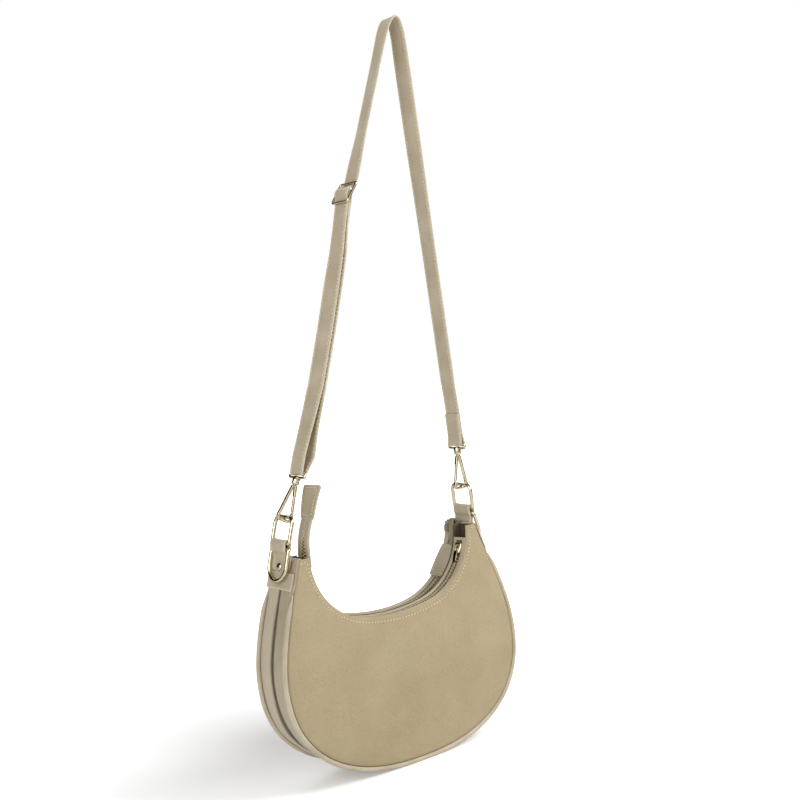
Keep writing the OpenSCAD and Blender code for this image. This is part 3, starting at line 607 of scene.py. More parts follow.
# %% Panels and inner walls
def crescent(side, rows=301, columns=61):
    """Points between the rim (column 0) and the outer edge, straight across; columns crowd towards
    both edges. Also each point's share of the way, its distance from both edges, and the width."""
    outer, rim = outline(side, rows), rim_line(rows)
    v = np.linspace(0, 1, columns)
    v = v - 0.08 * np.sin(2 * pi * v)
    grid = rim[:, None] * (1 - v[None, :, None]) + outer[:, None] * v[None, :, None]
    wide = np.linalg.norm(outer - rim, axis=1)[:, None]
    return grid, v[None], v[None] * wide, (1 - v[None]) * wide, wide


def waves(x, z):
    """Slow unevenness of the hide, about 1 from crest to trough."""
    return (0.30 * np.sin(x / 31 + 1.3) * np.sin(z / 26 + 0.7) + 0.16 * np.sin(x / 13 + z / 17)
            + 0.10 * np.sin(x / 7.5 - z / 9.1 + 2))


for side, name in ((FRONT, "front"), (REAR, "rear")):
    grid, v, from_rim, from_seam, wide = crescent(side)
    crown = 2.4 * (4 * v * (1 - v)) ** 0.7 * np.clip(wide / 70, 0.15, 1)
    wave = waves(grid[..., 0], grid[..., 1])
    calm_edges = smooth(from_rim / 25) * smooth(from_seam / 25)
    y = -crown - 0.7 * wave * calm_edges
    y += 1.0 * np.exp(-from_rim / 1.0) + 0.9 * np.exp(-from_seam / 1.6)
    y += 0.28 * np.exp(-((from_rim - RIM_SEAM) / 0.9) ** 2)
    panel = np.stack([grid[..., 0], y, grid[..., 1]], -1)
    points, faces, edge = slab(stand(panel, side), PANEL_T - 0.2, turn=-1)
    # Painted shade: the panel's outer edge is darkened under the piping, less where the piping thins near
    # the horns, and its back is darkened.
    piped = smooth((PIPING_TOP_Z + 6 - grid[:, -1, 1]) / 12)
    edge = with_painted_shade(edge, grid.shape[1], last=0.15 + 0.85 * piped, back=HIDDEN_SHADE)
    piece(f"{name}_panel_suede", points, faces, suede, slot="suede", stands_for=f"{name}_panel", edge=edge)
    row = np.argmin(np.abs(from_rim - RIM_SEAM), axis=1)
    seam = panel[np.arange(len(panel)), row]
    normal = stand(seam + [0, -1, 0], side) - stand(seam, side)
    rows = [stitch_row(stand(seam, side)[3:-3], normal[3:-3], pitch=3.6, half_l=0.95, r=0.58, lift=0.2)]
    for end in (0, -1):
        across = panel[2 if end == 0 else -3, row[end] : -6]
        normal = stand(across + [0, -1, 0], side) - stand(across, side)
        rows.append(stitch_row(stand(across, side), normal, 3.0, 1.0, 0.5, 0.2))
    piece(f"{name}_rim_stitches", *joined(*rows), thread, slot="edge_leather")

    back = depth_at(grid[..., 1]) - 0.5 * (wave + 0.5) * calm_edges
    wall = np.stack([grid[..., 0], back, grid[..., 1]], -1)
    points, faces, edge = slab(stand(wall, side), WALL_T - 0.1, turn=1)
    # Painted shade along the inner wall's rim edge and on its back.
    edge = with_painted_shade(edge, grid.shape[1], first=1, back=HIDDEN_SHADE)
    piece(f"{name}_inner_suede", points, faces, suede, slot="suede",
          stands_for=f"{name}_inner_wall", edge=edge)

# %% [markdown]
# ## Walls, piping and lining
# The wall is one strip of smooth leather that follows the outline and turns over each horn. Piping
# is leather over cord, sewn into the seam; near the horns it thins until it is gone. The lining
# only shows where a horn is open, so it is a plain bag inside.

# %% Walls, piping and lining
for side, name in ((FRONT, "front"), (REAR, "rear")):
    forward = stand([[0, -1, 0]], side)[0] - stand([[0, 0, 0]], side)[0]
    edge_line = outline(side, 401)
    wall_line = shifted(edge_line, SEAT + WALL_T)
    top_z = HORN_Z + WALL_T
    left_top, right_top = wall_line[0], wall_line[-1]
    turn_left, turn_right = (
        bezier([[x - k * 3, top_z], [x - k * 0.6, top_z], [x, top_z - 0.6], [x + k * 0.1, top_z - 3]], 9)
        for x, k in ((left_top[0], LEFT), (right_top[0], RIGHT)))
    inner = wall_line[wall_line[:, 1] < top_z - 4]
    path = np.concatenate([[left_top + [4, 0]], turn_left, inner, turn_right[::-1], [right_top - [4, 0]]])
    path = resample(path, 481)
    z = path[:, 1]
    piped = smooth((PIPING_TOP_Z + 4 - z) / 14)
    start = 0.3 + (PIPING_Y + PIPING_D / 2 - 0.3) * piped
    columns = np.linspace(0, 1, 13)
    y = start[:, None] + (depth_at(z) - start)[:, None] * columns[None]
    low = smooth((HORN_Z - 8 - z) / 30)[:, None]
    swell = low * (1.1 * np.sin(pi * columns)[None] + 0.25 * np.sin(path[:, :1] / 11 + z[:, None] / 15))
    swell = np.where(z[:, None] < 12, 0.3 * swell, swell)
    grid = grid_on(path, shifted(path, 1.0) - path, swell, y)
    points, faces, edge = slab(lifted_from_floor(stand(grid, side)), WALL_T, turn=-1)
    # Painted light and shade: the front wall is painted a little darker and the rear wall lighter, as the
    # light falls on them. The piping seam, the far edge and the back get painted shade, and column 11 is
    # painted dark where the pouches gape apart.
    tone = -0.07 if side == FRONT else 0.7
    edge = with_painted_shade(edge + tone * (edge == 0), 13, first=piped, last=0.75, back=HIDDEN_SHADE)
    painted_gap_shade = smooth(-side * path[:, 0] / 50) * smooth((100 - z) / 40)
    edge.reshape(len(path), -1)[:, 11] = np.minimum(tone, -0.95 * painted_gap_shade)
    piece(f"{name}_wall_leather", lifted_from_floor(points), faces, leather, slot="smooth_leather",
          stands_for=f"{name}_gusset", edge=edge)

    centre = shifted(edge_line, PIPING_D / 2)
    keep = edge_line[:, 1] < PIPING_TOP_Z + 3
    centre = resample(centre[keep], 361)
    s = length_along(centre)
    ends = np.minimum(s, s[-1] - s)
    fat = 0.25 + 0.75 * smooth(ends / 26)
    inward = shifted(centre, -(1 - fat) * PIPING_D / 2)
    line = with_y(inward, PIPING_Y + (1 - fat) * 0.8)
    points, faces = sweep(stand(line, side), circle(PIPING_D / 2, 18), forward, scale=fat)
    piece(f"{name}_piping_cord", lifted_from_floor(points), faces, pale_leather, slot="edge_leather",
          stands_for=f"{name}_piping")

    gap = 0.4
    inside = shifted(outline(side, 161), -gap)
    rim = shifted(rim_line(161), 4.4)
    v = np.linspace(0, 1, 25)[None, :, None]
    flat = rim[:, None] * (1 - v) + inside[:, None] * v
    bulge = np.sin(pi * v[..., 0]) ** 0.5
    half = (depth_at(flat[..., 1]) - PANEL_T - WALL_T) / 2 - gap
    middle = PANEL_T + half + gap
    near = np.stack([flat[..., 0], middle - half * bulge, flat[..., 1]], -1)
    far = np.stack([flat[..., 0], middle + half * bulge, flat[..., 1]], -1)[:, ::-1]
    loop = stand(np.concatenate([near, far[:, 1:-1]], 1), side)
    n, k = loop.shape[:2]
    caps = [list(range(k))[::-1], [(n - 1) * k + j for j in range(k)]]
    piece(f"{name}_lining_bag", lifted_from_floor(loop), strip_faces(n, k) + caps, lining_cloth,
          slot="lining_cloth", stands_for=f"{name}_lining")

# %% [markdown]
# ## Zip
# Two strips of leather run along the rim with a slot between them, and the zip is sewn under the
# slot. A metal zip has two rows of teeth that sit between one another, so the rows are half a pitch
# apart. A tooth is one bead shape, repeated along the rim.

# %% Facings, tape and teeth
FACING_T, TAPE_T, TAPE_W, CHANNEL_W, TOOTH_HALF_L, TOOTH_H = WALL_T, 0.6, 15, 1, 2.2, 1.1
SLIDER_A, SLIDER_L, PLATE_T = radians(70), 11, 1
SLIDER_STEP = SLIDER_L / RIM_SIDE_R / 2


def on_rim(s):
    """Point on the rim at length s from its lowest point, and the way along it, as x and z."""
    s = np.asarray(s, float)
    middle = RIM_MID_R * RIM_MID_A
    k = np.sign(s)
    beyond = np.abs(s) > middle
    a = np.where(beyond, RIM_MID_A + (np.abs(s) - middle) / RIM_SIDE_R, np.abs(s) / RIM_MID_R)
    r = np.where(beyond, RIM_SIDE_R, RIM_MID_R)
    x = k * (np.where(beyond, RIM_C, 0) + r * np.sin(a))
    z = np.where(beyond, HORN_Z, HORN_Z - RIM_DROP + RIM_MID_R) - r * np.cos(a)
    return np.stack([x, z], -1), np.stack([np.cos(a), k * np.sin(a)], -1)


def rim_strip(side, y0, y1, down, thick, last, puff=0.0, columns=7):
    """A strip along the rim between two depths, `down` below its surface."""
    line = shifted(rim_line(241, last), down)
    v = np.linspace(0, 1, columns)
    y = np.asarray(y0)[..., None] * (1 - v) + np.asarray(y1)[..., None] * v
    grid = grid_on(line, shifted(line, -1.0) - line, puff * np.sin(pi * v)[None], y)
    return slab(stand(grid, side), thick)


for side, name in ((FRONT, "front"), (REAR, "rear")):
    line = rim_line(241, ZIP_END_A)
    back = depth_at(line[:, 1]) - WALL_T
    nearer = rim_strip(side, PANEL_T - 0.1, ZIP_Y - ZIP_SLOT / 2, 0, FACING_T, ZIP_END_A, 0.25)
    farther = rim_strip(side, ZIP_Y + ZIP_SLOT / 2, back, 0, FACING_T, ZIP_END_A, 0.25)
    a = np.linspace(ZIP_END_A, ZIP_END_A + radians(2.4), 5)
    end = np.stack([RIM_C + RIM_SIDE_R * np.sin(a), HORN_Z - RIM_SIDE_R * np.cos(a)], 1)
    y = np.linspace(PANEL_T, depth_at(HORN_Z) - WALL_T, 9)
    across = slab(stand(grid_on(end, end, 0, y), side), FACING_T)
    points, faces = joined(nearer[:2], farther[:2], across[:2])
    # Painted shade along the far facing's back edge, next to the gap between the pouches.
    shade = with_painted_shade(farther[2], 7, last=1)
    shade.reshape(len(line), -1)[:, 5] = -0.6
    edge = np.concatenate([nearer[2], shade, across[2]])
    piece(f"{name}_zip_facings", points, faces, leather, slot="smooth_leather",
          stands_for=f"{name}_facings", edge=edge)

    halves = []
    for k in (-1, 1):
        y0 = ZIP_Y + k * CHANNEL_W / 2
        y1 = ZIP_Y + k * TAPE_W / 2
        a, b = min(y0, y1), max(y0, y1)
        halves.append(rim_strip(side, a, b, FACING_T + SEAT, TAPE_T - SEAT, ZIP_END_A, 0, 5)[:2])
    piece(f"{name}_tape", *joined(*halves), tape_cloth, slot="zip_tape", stands_for=f"{name}_zip_tape")

    middle = RIM_MID_R * RIM_MID_A
    tail_l = middle + RIM_SIDE_R * (pi / 2 - RIM_MID_A)
    zip_l = middle + RIM_SIDE_R * (SLIDER_A - SLIDER_STEP - RIM_MID_A)
    count = int((zip_l + tail_l) / TOOTH_PITCH)
    rows = []
    for k in (-1, 1):
        spot, way = on_rim((np.arange(count) + 0.5 + (k + 1) / 4) * TOOTH_PITCH - tail_l)
        rise = np.stack([-way[:, 1], way[:, 0]], 1)
        sunk = spot - rise * (FACING_T - TOOTH_H * 0.62)
        centre = with_y(sunk, ZIP_Y + k * 0.65)
        world = stand(centre, side)
        ahead = stand(centre + [0, 1, 0], side) - world
        out = stand(centre + with_y(rise), side) - world
        rows.append(beads(world, ahead, out, TOOTH_HALF_L, TOOTH_PITCH * 0.19, 0.3, 8))
    piece(f"{name}_teeth", *joined(*rows), teeth_metal, slot="gold_metal", stands_for=f"{name}_zip_teeth")

# %% [markdown]
# ## Slider and pull
# The slider is a small cast box: a top plate that is wide where the rows part and narrow where
# they meet, two lips, an arch on top, and a plate with a slot that hangs on the arch.

# %% Sliders and pulls
BAIL_R, PULL_L, PULL_BACK, PULL_W, PULL_T = 1.15, 15, 0.9, 5, 1


def at_slider(points, side):
    """Points given along the rim, across it and up from the pull's hinge, put in their place."""
    p = np.asarray(points, float)
    radial, along = RIM_SIDE_R - CLEAR - PLATE_T - BAIL_R - p[..., 2], p[..., 0]
    x = RIM_C + radial * sin(SLIDER_A) + along * cos(SLIDER_A)
    z = HORN_Z - radial * cos(SLIDER_A) + along * sin(SLIDER_A)
    return stand(np.stack([x, ZIP_Y + p[..., 1], z], -1), side)


for side, name in ((FRONT, "front"), (REAR, "rear")):
    t = np.linspace(-1, 1, 33)
    half_w = 3.1 + 0.95 * smooth((t + 1) / 1.3)
    half_w = half_w * np.sqrt(np.clip(1 - np.abs(t) ** 9, 0.02, 1))
    crown = 0.35 * (1 - t ** 2)
    u = np.linspace(-1, 1, 15)
    curve = SLIDER_L ** 2 / 8 / RIM_SIDE_R * t ** 2
    height = -BAIL_R + curve[:, None] + crown[:, None] * (1 - u[None] ** 4) - 0.25 * u[None] ** 6
    top = np.stack([np.repeat(t[:, None] * SLIDER_L / 2, 15, 1), half_w[:, None] * u[None], height], -1)
    plate = slab(at_slider(top, side), PLATE_T)[:2]
    under = np.stack([top[..., 0], top[..., 1], np.repeat(curve[:, None], 15, 1) - BAIL_R - 5.1], -1)
    sole = slab(at_slider(under, side), PLATE_T)[:2]
    sides = []
    for k in (-1, 1):
        rail = np.stack([t[2:-2] * SLIDER_L / 2, k * (half_w[2:-2] + 0.15), curve[2:-2] - BAIL_R - 1.1], 1)
        up = way_of(at_slider, [0, 0, 1], side)
        sides.append(sweep(at_slider(rail, side), rounded_bar(0.7, 1.7, 0.3), up))
    post = np.stack([np.full(7, 4.0), np.zeros(7), np.linspace(-BAIL_R - 0.6, -BAIL_R - 5.2, 7)], 1)
    ahead = way_of(at_slider, [1, 0, 0], side)
    sides.append(sweep(at_slider(post, side), rounded_bar(0.5, 2.0, 0.2), ahead))
    b = np.linspace(-0.35, pi + 0.35, 31)
    bow = np.stack([3.0 * np.cos(b), 0 * b, -0.75 + 2.25 * np.sin(b)], 1)
    arch = sweep(at_slider(bow, side), rounded_bar(1.3, 0.75, 0.3),
                 length_unit(at_slider(bow * [1, 0, 1], side) - at_slider(bow * 0.2, side)))
    parts = joined(plate, sole, *sides, arch)
    piece(f"{name}_zip_slider", *parts, gold, f"{name}_slider", "gold_metal", f"{name}_slider")

    a = np.linspace(0, 2 * pi, 49)[:-1]
    reach = np.sign(np.cos(a)) * np.abs(np.cos(a)) ** 0.75
    width = np.sign(np.sin(a)) * np.abs(np.sin(a)) ** 0.7
    outer = np.stack([(PULL_L - PULL_BACK) / 2 + (PULL_L + PULL_BACK) / 2 * reach,
                      PULL_W / 2 * width * (0.8 + 0.2 * smooth((reach + 1) / 1.2))], 1)
    hole = np.stack([1.15 + 1.75 * reach, 1.2 * width], 1)
    rings = []
    for share, rise in ((0, -0.28), (0, 0.28), (0.12, 0.5), (0.88, 0.5),
                        (1, 0.28), (1, -0.28), (0.88, -0.5), (0.12, -0.5)):
        flat = outer * (1 - share) + hole * share
        rings.append(np.stack([-flat[:, 0], flat[:, 1], np.full(48, rise * PULL_T)], 1))
    rings = np.stack(rings, 0)
    n, k = rings.shape[:2]
    faces = [[i % (n * k) for i in face] for face in strip_faces(n + 1, k)]
    points = at_slider(rings.reshape(-1, 3), side)
    piece(f"{name}_zip_pull", points, faces, gold, f"{name}_pull", "gold_metal", f"{name}_pull")

# %% [markdown]
# ## Zip tails
# The zip ends in a leather tab. On the front pouch it stands up behind the left horn, where its two
# strips meet in a V with the last teeth inside. On the rear one it folds over at the right horn,
# gathered narrow, and hangs behind the front pouch; its strips are painted dark as shade. The tab is
# two sewn layers over a thin filler, so it is crowned.

# %% Tails and tabs
TAB_H, TAB_W, TAB_T, TAB_SQUARE = 30.5, 26.5, 3.4, 14
TAIL_X, TAIL_RISE, TAIL_IN, TAIL_FALL, TAIL_FOLD_R = -RIM_HALF + FACING_T, 33.5, 7, 19, 1.8
fold_a = np.linspace(pi, 0, 17)
tail_foot = np.array([TAIL_X, HORN_Z])
tail_fold = tail_foot + TAIL_FOLD_R * (1 + np.stack([np.cos(fold_a), np.sin(fold_a)], 1))
TAILS = {FRONT: bezier(tail_foot + [[0, 0], [0, TAIL_RISE / 2], [TAIL_IN * 0.36, TAIL_RISE * 0.7],
                                    [TAIL_IN, TAIL_RISE]], 61),
         REAR: np.concatenate([[tail_foot], tail_fold, [[-RIM_HALF + 6, HORN_Z - TAIL_FALL]]])}
TAB_TILTS = {FRONT: radians(18), REAR: radians(150)}
TAIL_NARROWS, TAIL_MOVES = {FRONT: 1.0, REAR: 5.8}, {FRONT: 0, REAR: 5.5}
TAIL_SPLIT_L = {FRONT: 22, REAR: 4}

for side, name in ((FRONT, "front"), (REAR, "rear")):
    route = resample(TAILS[side], 61)
    start = np.array([[route[0, 0], HORN_Z - 9]])
    route = np.concatenate([resample(np.concatenate([start, route[:1]]), 11)[:-1], route])
    way = length_unit(np.gradient(route, axis=0))
    out2 = np.stack([-way[:, 1], way[:, 0]], 1)
    up = length_along(route)
    split = ZIP_SLOT / 2 * np.clip(1 - (up - 9) / TAIL_SPLIT_L[side], 0, 1) + 0.05
    half = 8.6 - TAIL_NARROWS[side] * smooth((up - 6) / (24 if side == FRONT else 5))
    middle = ZIP_Y + TAIL_MOVES[side] * smooth((up - 6) / 5)
    strips = []
    for k in (-1, 1):
        v = np.linspace(0, 1, 7)
        y = middle[:, None] + k * (split[:, None] * (1 - v) + half[:, None] * v)
        rise = 1.0 + 0.25 * np.sin(pi * v)[None]
        strips.append(slab(stand(grid_on(route, out2, rise, y), side), 2.0, turn=k))
    points, faces = joined(*[s[:2] for s in strips])
    edge = np.concatenate([s[2] for s in strips])
    # Painted shade: the rear tail's strips are darkened all over, as they hang in shade behind the front
    # pouch.
    edge = edge if side == FRONT else np.minimum(edge, -0.55)
    piece(f"{name}_tail_strips", points, faces, leather, slot="smooth_leather", edge=edge)
    keep = up < 9 + TAIL_SPLIT_L[side]
    y = middle[keep][:, None] + np.linspace(-1, 1, 5)[None] * np.minimum(4.2, half[keep][:, None] - 0.6)
    tape_tail = slab(stand(grid_on(route[keep], out2[keep], 0.2, y), side), 0.5)[:2]
    piece(f"{name}_tail_tape", *tape_tail, tape_cloth, slot="zip_tape")
    line = resample((route + out2 * 0.7)[keep], 11)
    line_way = length_unit(np.gradient(line, axis=0))
    rows = []
    for k in (-1, 1):
        centre = with_y(line + line_way * k * 0.75, np.interp(length_along(line), up, middle) + k * 1.5)
        world = stand(centre, side)
        outward = stand(centre + [-1, 0, 0], side) - world
        rows.append(beads(world, stand(centre + [0, 1, 0], side) - world, outward, 1.3, 0.72, 0.2, 8))
    piece(f"{name}_tail_teeth", *joined(*rows), teeth_metal, slot="gold_metal")

    tilt = TAB_TILTS[side]
    along = np.array([sin(tilt), 0, cos(tilt)])
    across = np.array([0, 1, 0])
    out = np.cross(along, across)
    root = np.array([route[-1, 0], ZIP_Y, route[-1, 1]])
    u, v = np.meshgrid(np.linspace(-1, 1, 33), np.linspace(-1, 1, 25), indexing="ij")
    most = np.maximum(np.abs(u), np.abs(v))
    fit = (np.abs(u) ** TAB_SQUARE + np.abs(v) ** TAB_SQUARE + 1e-9) ** (-1 / TAB_SQUARE) * most
    uu, vv = u * fit, v * fit
    height = (uu + 1) / 2 * TAB_H
    breadth = vv * TAB_W / 2 * (0.75 + 0.25 * (uu + 1) / 2) + TAIL_MOVES[side] * 0.4
    rim_d = 1 - most
    puff = (0.75 + (TAB_T / 2 - 0.75) * smooth(rim_d / 0.55) + 0.25 * smooth(rim_d / 0.12)
            - 0.25 * np.exp(-((rim_d - 0.17) / 0.05) ** 2))
    bend = 0.8 * np.sin(pi * (uu + 1) / 2)
    middle = root + height[..., None] * along + (breadth[..., None] * across)
    sheets = [stand(middle + (k * puff + bend)[..., None] * out, side).reshape(-1, 3) for k in (1, -1)]
    n, m = u.shape
    number = np.arange(n * m).reshape(n, m)
    border = np.concatenate([number[:, 0], number[-1, 1:], number[-2::-1, -1], number[0, -2:0:-1]])
    after = np.roll(border, -1)
    faces = strip_faces(n, m, False) + strip_faces(n, m, False, n * m)
    faces += np.stack([border, after, n * m + after, n * m + border], 1).tolist()
    edge = (rim_d < 0.01).astype(float).ravel()
    piece(f"{name}_tab", np.concatenate(sheets), faces, leather, slot="smooth_leather",
          stands_for=f"{name}_zip_tab", edge=np.concatenate([edge, edge]), sharp=70)
    a = np.linspace(0, 2 * pi, 121)
    ring_u = 0.83 * np.sign(np.cos(a)) * np.abs(np.cos(a)) ** 0.35
    ring_v = 0.80 * np.sign(np.sin(a)) * np.abs(np.sin(a)) ** 0.35
    rows = []
    for k in (1, -1):
        h = (ring_u + 1) / 2 * TAB_H
        w = ring_v * TAB_W / 2 * (0.75 + 0.25 * (ring_u + 1) / 2) + TAIL_MOVES[side] * 0.4
        rise = k * (TAB_T / 2 - 0.42) + 0.8 * np.sin(pi * (ring_u + 1) / 2)
        p = root + h[:, None] * along + w[:, None] * across + rise[:, None] * out
        world = stand(p, side)
        rows.append(stitch_row(world, stand(p + k * out, side) - world, 3.0, 1.05, 0.42))
    piece(f"{name}_tab_stitches", *joined(*rows), thread, slot="edge_leather")

# %% [markdown]
# ## Loops, rivets and crosspieces
# A folded strip of leather holds the link and the ring at each horn, with a dome rivet through
# both of its ends. Under it, a strip crosses both pouches and ties them together.

# %% Loops, rivets and crosspieces
WIRE_D, LINK_W, LINK_H, LOOP_W, LOOP_T, RIVET_R, RIVET_H = 3.2, 26.6, 23.5, 22, 1.9, 3.6, 2
LINK_X, LINK_Z = HORN_X + 4.5, HORN_Z + 13.5
RING_X, RING_Z = LINK_X + 0.6, LINK_Z - WIRE_D - 1.6
LOOP_R, LOOP_FOOT, RIVET_DROP = WIRE_D / 2 + CLEAR, 12, 7.8
CROSS_T, CROSS_H = 1.7, 14.5


def at_horn(points, side):
    """Puts points beside the left or right horn; the left side is a mirror image."""
    p = np.asarray(points, float)
    return np.stack([side * p[..., 0] + BAG[0], p[..., 1] + BAG[1], p[..., 2]], -1)


def turned(points, angle, origin):
    """Turns points about Y, so that their top leans inward by an angle, and moves them."""
    p = np.asarray(points, float)
    x = p[..., 0] * cos(angle) - p[..., 2] * sin(angle)
    z = p[..., 0] * sin(angle) + p[..., 2] * cos(angle)
    return np.stack([x + origin[0], p[..., 1], z + origin[1]], -1)


def leg_point(side, drop, extra):
    """Middle of the loop's leg beside a horn."""
    slope = tan(HORN_SLANT) + side * SAG / HORN_Z
    return np.array([HORN_X + SEAT + WALL_T + drop * slope + extra + LOOP_T, HORN_Z - drop])


def arc(centre, r, a0, a1, n=17):
    """Points of an arc in the plane, angles in degrees."""
    a = np.radians(np.linspace(a0, a1, n))
    return np.stack([centre[0] + r * np.cos(a), centre[1] + r * np.sin(a)], 1)


for side, name in ((LEFT, "left"), (RIGHT, "right")):
    top, foot = leg_point(side, 0, CLEAR), leg_point(side, LOOP_FOOT, 2 * CLEAR)
    way = length_unit(foot - top)
    out2 = np.array([-way[1], way[0]])
    r = LOOP_R + LOOP_T / 2
    outer_leg = top + out2 * LOOP_T / 2
    inner_leg = top - out2 * LOOP_T / 2
    path = np.concatenate([
        [foot + out2 * LOOP_T / 2, outer_leg, outer_leg + [0.3, 4]],
        arc((RING_X, RING_Z), r, -20, 0, 5), arc((LINK_X, LINK_Z), r, 0, 180, 21),
        arc((RING_X, RING_Z), r, 180, 245, 9),
        [inner_leg + [0.1, 1.5], inner_leg, foot - out2 * LOOP_T / 2]])
    path = eased(resample(path, 141), 10)
    s = length_along(path)
    d = np.minimum(s, s[-1] - s)
    half = LOOP_W / 2 - 6 + np.sqrt(np.clip(36 - (6 - np.clip(d, 0, 6)) ** 2, 0.01, 36))
    v = np.linspace(-1, 1, 15)
    normal = shifted(path, -1.0) - path
    rise = LOOP_T / 2 - 0.35 * v[None] ** 6
    grid = grid_on(path, normal, rise, half[:, None] * v[None])
    points, faces, edge = slab(at_horn(grid, side), LOOP_T - 0.15, turn=side)
    piece(f"{name}_loop_leather", points, faces, strap_leather, slot="smooth_leather",
          stands_for=f"{name}_loop", edge=edge)
    rows = []
    keep = s < s[-1] * 0.55
    for k in (-1, 1):
        line = with_y((path - normal * (LOOP_T / 2 - 0.1))[keep], k * (half[keep] - 2.2))
        outward = at_horn(line - with_y(normal[keep]), side) - at_horn(line, side)
        rows.append(stitch_row(at_horn(line, side)[8:], outward[8:], 3.0, 1.0, 0.3, 0.0))
    piece(f"{name}_loop_stitches", *joined(*rows), thread, slot="edge_leather")

    spot = top + (foot - top) * RIVET_DROP / LOOP_FOOT
    dome = np.linspace(0, 1, 13)
    profile = [[0.01, -2.2], [1.2, -2.2], [1.2, LOOP_T], [RIVET_R - 0.25, LOOP_T], [RIVET_R, LOOP_T + 0.2],
               [RIVET_R, LOOP_T + 0.45]]
    profile += [[RIVET_R * cos(t * pi / 2) + 0.001, LOOP_T + 0.45 + (RIVET_H - 0.3) * sin(t * pi / 2)]
                for t in dome[1:]]
    p, faces = lathe(profile)
    middle, along, axis = with_y(np.array([spot, way, out2]))
    points = at_horn(middle + p[:, :1] * along + p[:, 1:2] * [0, 1, 0] + p[:, 2:] * axis, side)
    piece(f"{name}_rivet_dome", points, faces, gold, slot="gold_metal",
          stands_for=f"{name}_rivet", sharp=40)

    line = shifted(outline(side, 601), SEAT + WALL_T + CLEAR + CROSS_T)
    cross_top = HORN_Z - LOOP_FOOT - 0.4
    line = line[(line[:, 0] > 0) & (line[:, 1] > cross_top - CROSS_H) & (line[:, 1] < cross_top)]
    line = resample(line, 17)
    y = np.linspace(-1, 1, 61) * (POUCH_T - 1)
    bow = 0.35 * np.exp(-(y / 2.2) ** 2)
    normal = shifted(line, 1.0) - line
    grid = grid_on(line, normal, -bow[None], y[None]).transpose(1, 0, 2)
    points, faces, edge = slab(at_horn(grid, side), CROSS_T - 0.1, turn=side)
    piece(f"{name}_crosspiece_leather", points, faces, strap_leather, slot="smooth_leather",
          stands_for=f"{name}_crosspiece", edge=edge)

# %% [markdown]
# ## Links, rings, hooks and eyes
# All of this is bent or cast wire. A link is a rounded rectangle and a ring is a D. The hook is a
# flat strip bent to a teardrop, open on one side, where a sprung gate closes it. Its stem turns in
# a collar, and the collar's two arms carry the bar that the strap is folded round.

# %% Links and rings
def wire_rectangle(w, h, low_r, top_r, n=240):
    """A rounded rectangle that stands on its lower bar, as y and z."""
    corners = [(w / 2 - low_r, low_r, low_r, -90), (w / 2 - top_r, h - top_r, top_r, 0),
               (top_r - w / 2, h - top_r, top_r, 90), (low_r - w / 2, low_r, low_r, 180)]
    path = np.concatenate([arc((x, z), r, a, a + 90, 13) for x, z, r, a in corners])
    return resample(np.concatenate([path, path[:1]]), n + 1)[:-1]


WIRE_SHOWN_R = 1.78
LEANS_LINK = {LEFT: radians(16), RIGHT: radians(4)}
LEANS_RING = {LEFT: radians(15), RIGHT: radians(20)}
for side, name in ((LEFT, "left"), (RIGHT, "right")):
    flat = wire_rectangle(LINK_W, LINK_H, 3, 6.4)
    path = turned(end_on(flat), LEANS_LINK[side], (LINK_X, LINK_Z))
    facing = turned([[1, 0, 0]], LEANS_LINK[side], (0, 0))[0] * [side, 1, 1]
    points, faces = sweep(at_horn(path, side), circle(WIRE_SHOWN_R), facing, closed=True)
    piece(f"{name}_link_wire", points, faces, gold, f"{name}_link", "gold_metal", f"{name}_link")
    half, arm = LINK_W / 2, 15.5
    lower = arc((0, -arm), half, 180, 360, 41)
    corner_r = 1.2
    flat = np.concatenate([arc((half - corner_r, -corner_r), corner_r, 0, 90, 6),
                           arc((corner_r - half, -corner_r), corner_r, 90, 180, 6), lower])
    flat = resample(np.concatenate([flat, flat[:1]]), 161)[:-1]
    path = turned(end_on(flat), LEANS_RING[side], (RING_X, RING_Z))
    facing = turned([[1, 0, 0]], LEANS_RING[side], (0, 0))[0] * [side, 1, 1]
    points, faces = sweep(at_horn(path, side), circle(WIRE_SHOWN_R), facing, closed=True)
    piece(f"{name}_ring_wire", points, faces, gold, f"{name}_ring", "gold_metal", f"{name}_ring")

# %% Hooks, gates and swivels
HOOK_H, HOOK_W, HOOK_T, HOOK_BAR, FOOT_R, HEAD_R = 27, 17, 3.2, 2.6, 4.2, 3
FOOT_X, FOOT_Z = HOOK_W / 2 - FOOT_R, FOOT_R - HOOK_BAR - WIRE_D / 2 - CLEAR
NOSE_Z, GATE_TOP_Z, PIN_X, PIN_Z, GATE_R = 3.2, HOOK_H - 6.5, 3.1, HOOK_H - 4.7, 1.25
COLLAR_Z, COLLAR_H, COLLAR_R = HOOK_H + HEAD_R + CLEAR, 3, 3.4
BALL_R, STEM_R, EYE_R = 2.3, 1.5, 1.2
BALL_Z = COLLAR_Z + COLLAR_H + BALL_R + SEAT
EYE_Z, STRAP_W = COLLAR_Z + COLLAR_H + 8, 20
EYE_HALF = STRAP_W / 2 + EYE_R + 0.7
LEANS_HOOK = {LEFT: radians(26), RIGHT: radians(3)}


def link_top(side):
    """Middle of a link's upper bar, as x and z beside the horn."""
    return np.array([LINK_X - LINK_H * sin(LEANS_LINK[side]), LINK_Z + LINK_H * cos(LEANS_LINK[side])])


def at_hook(points, side):
    """Puts points given up from the link's upper bar on a hook."""
    return at_horn(turned(points, LEANS_HOOK[side], link_top(side)), side)


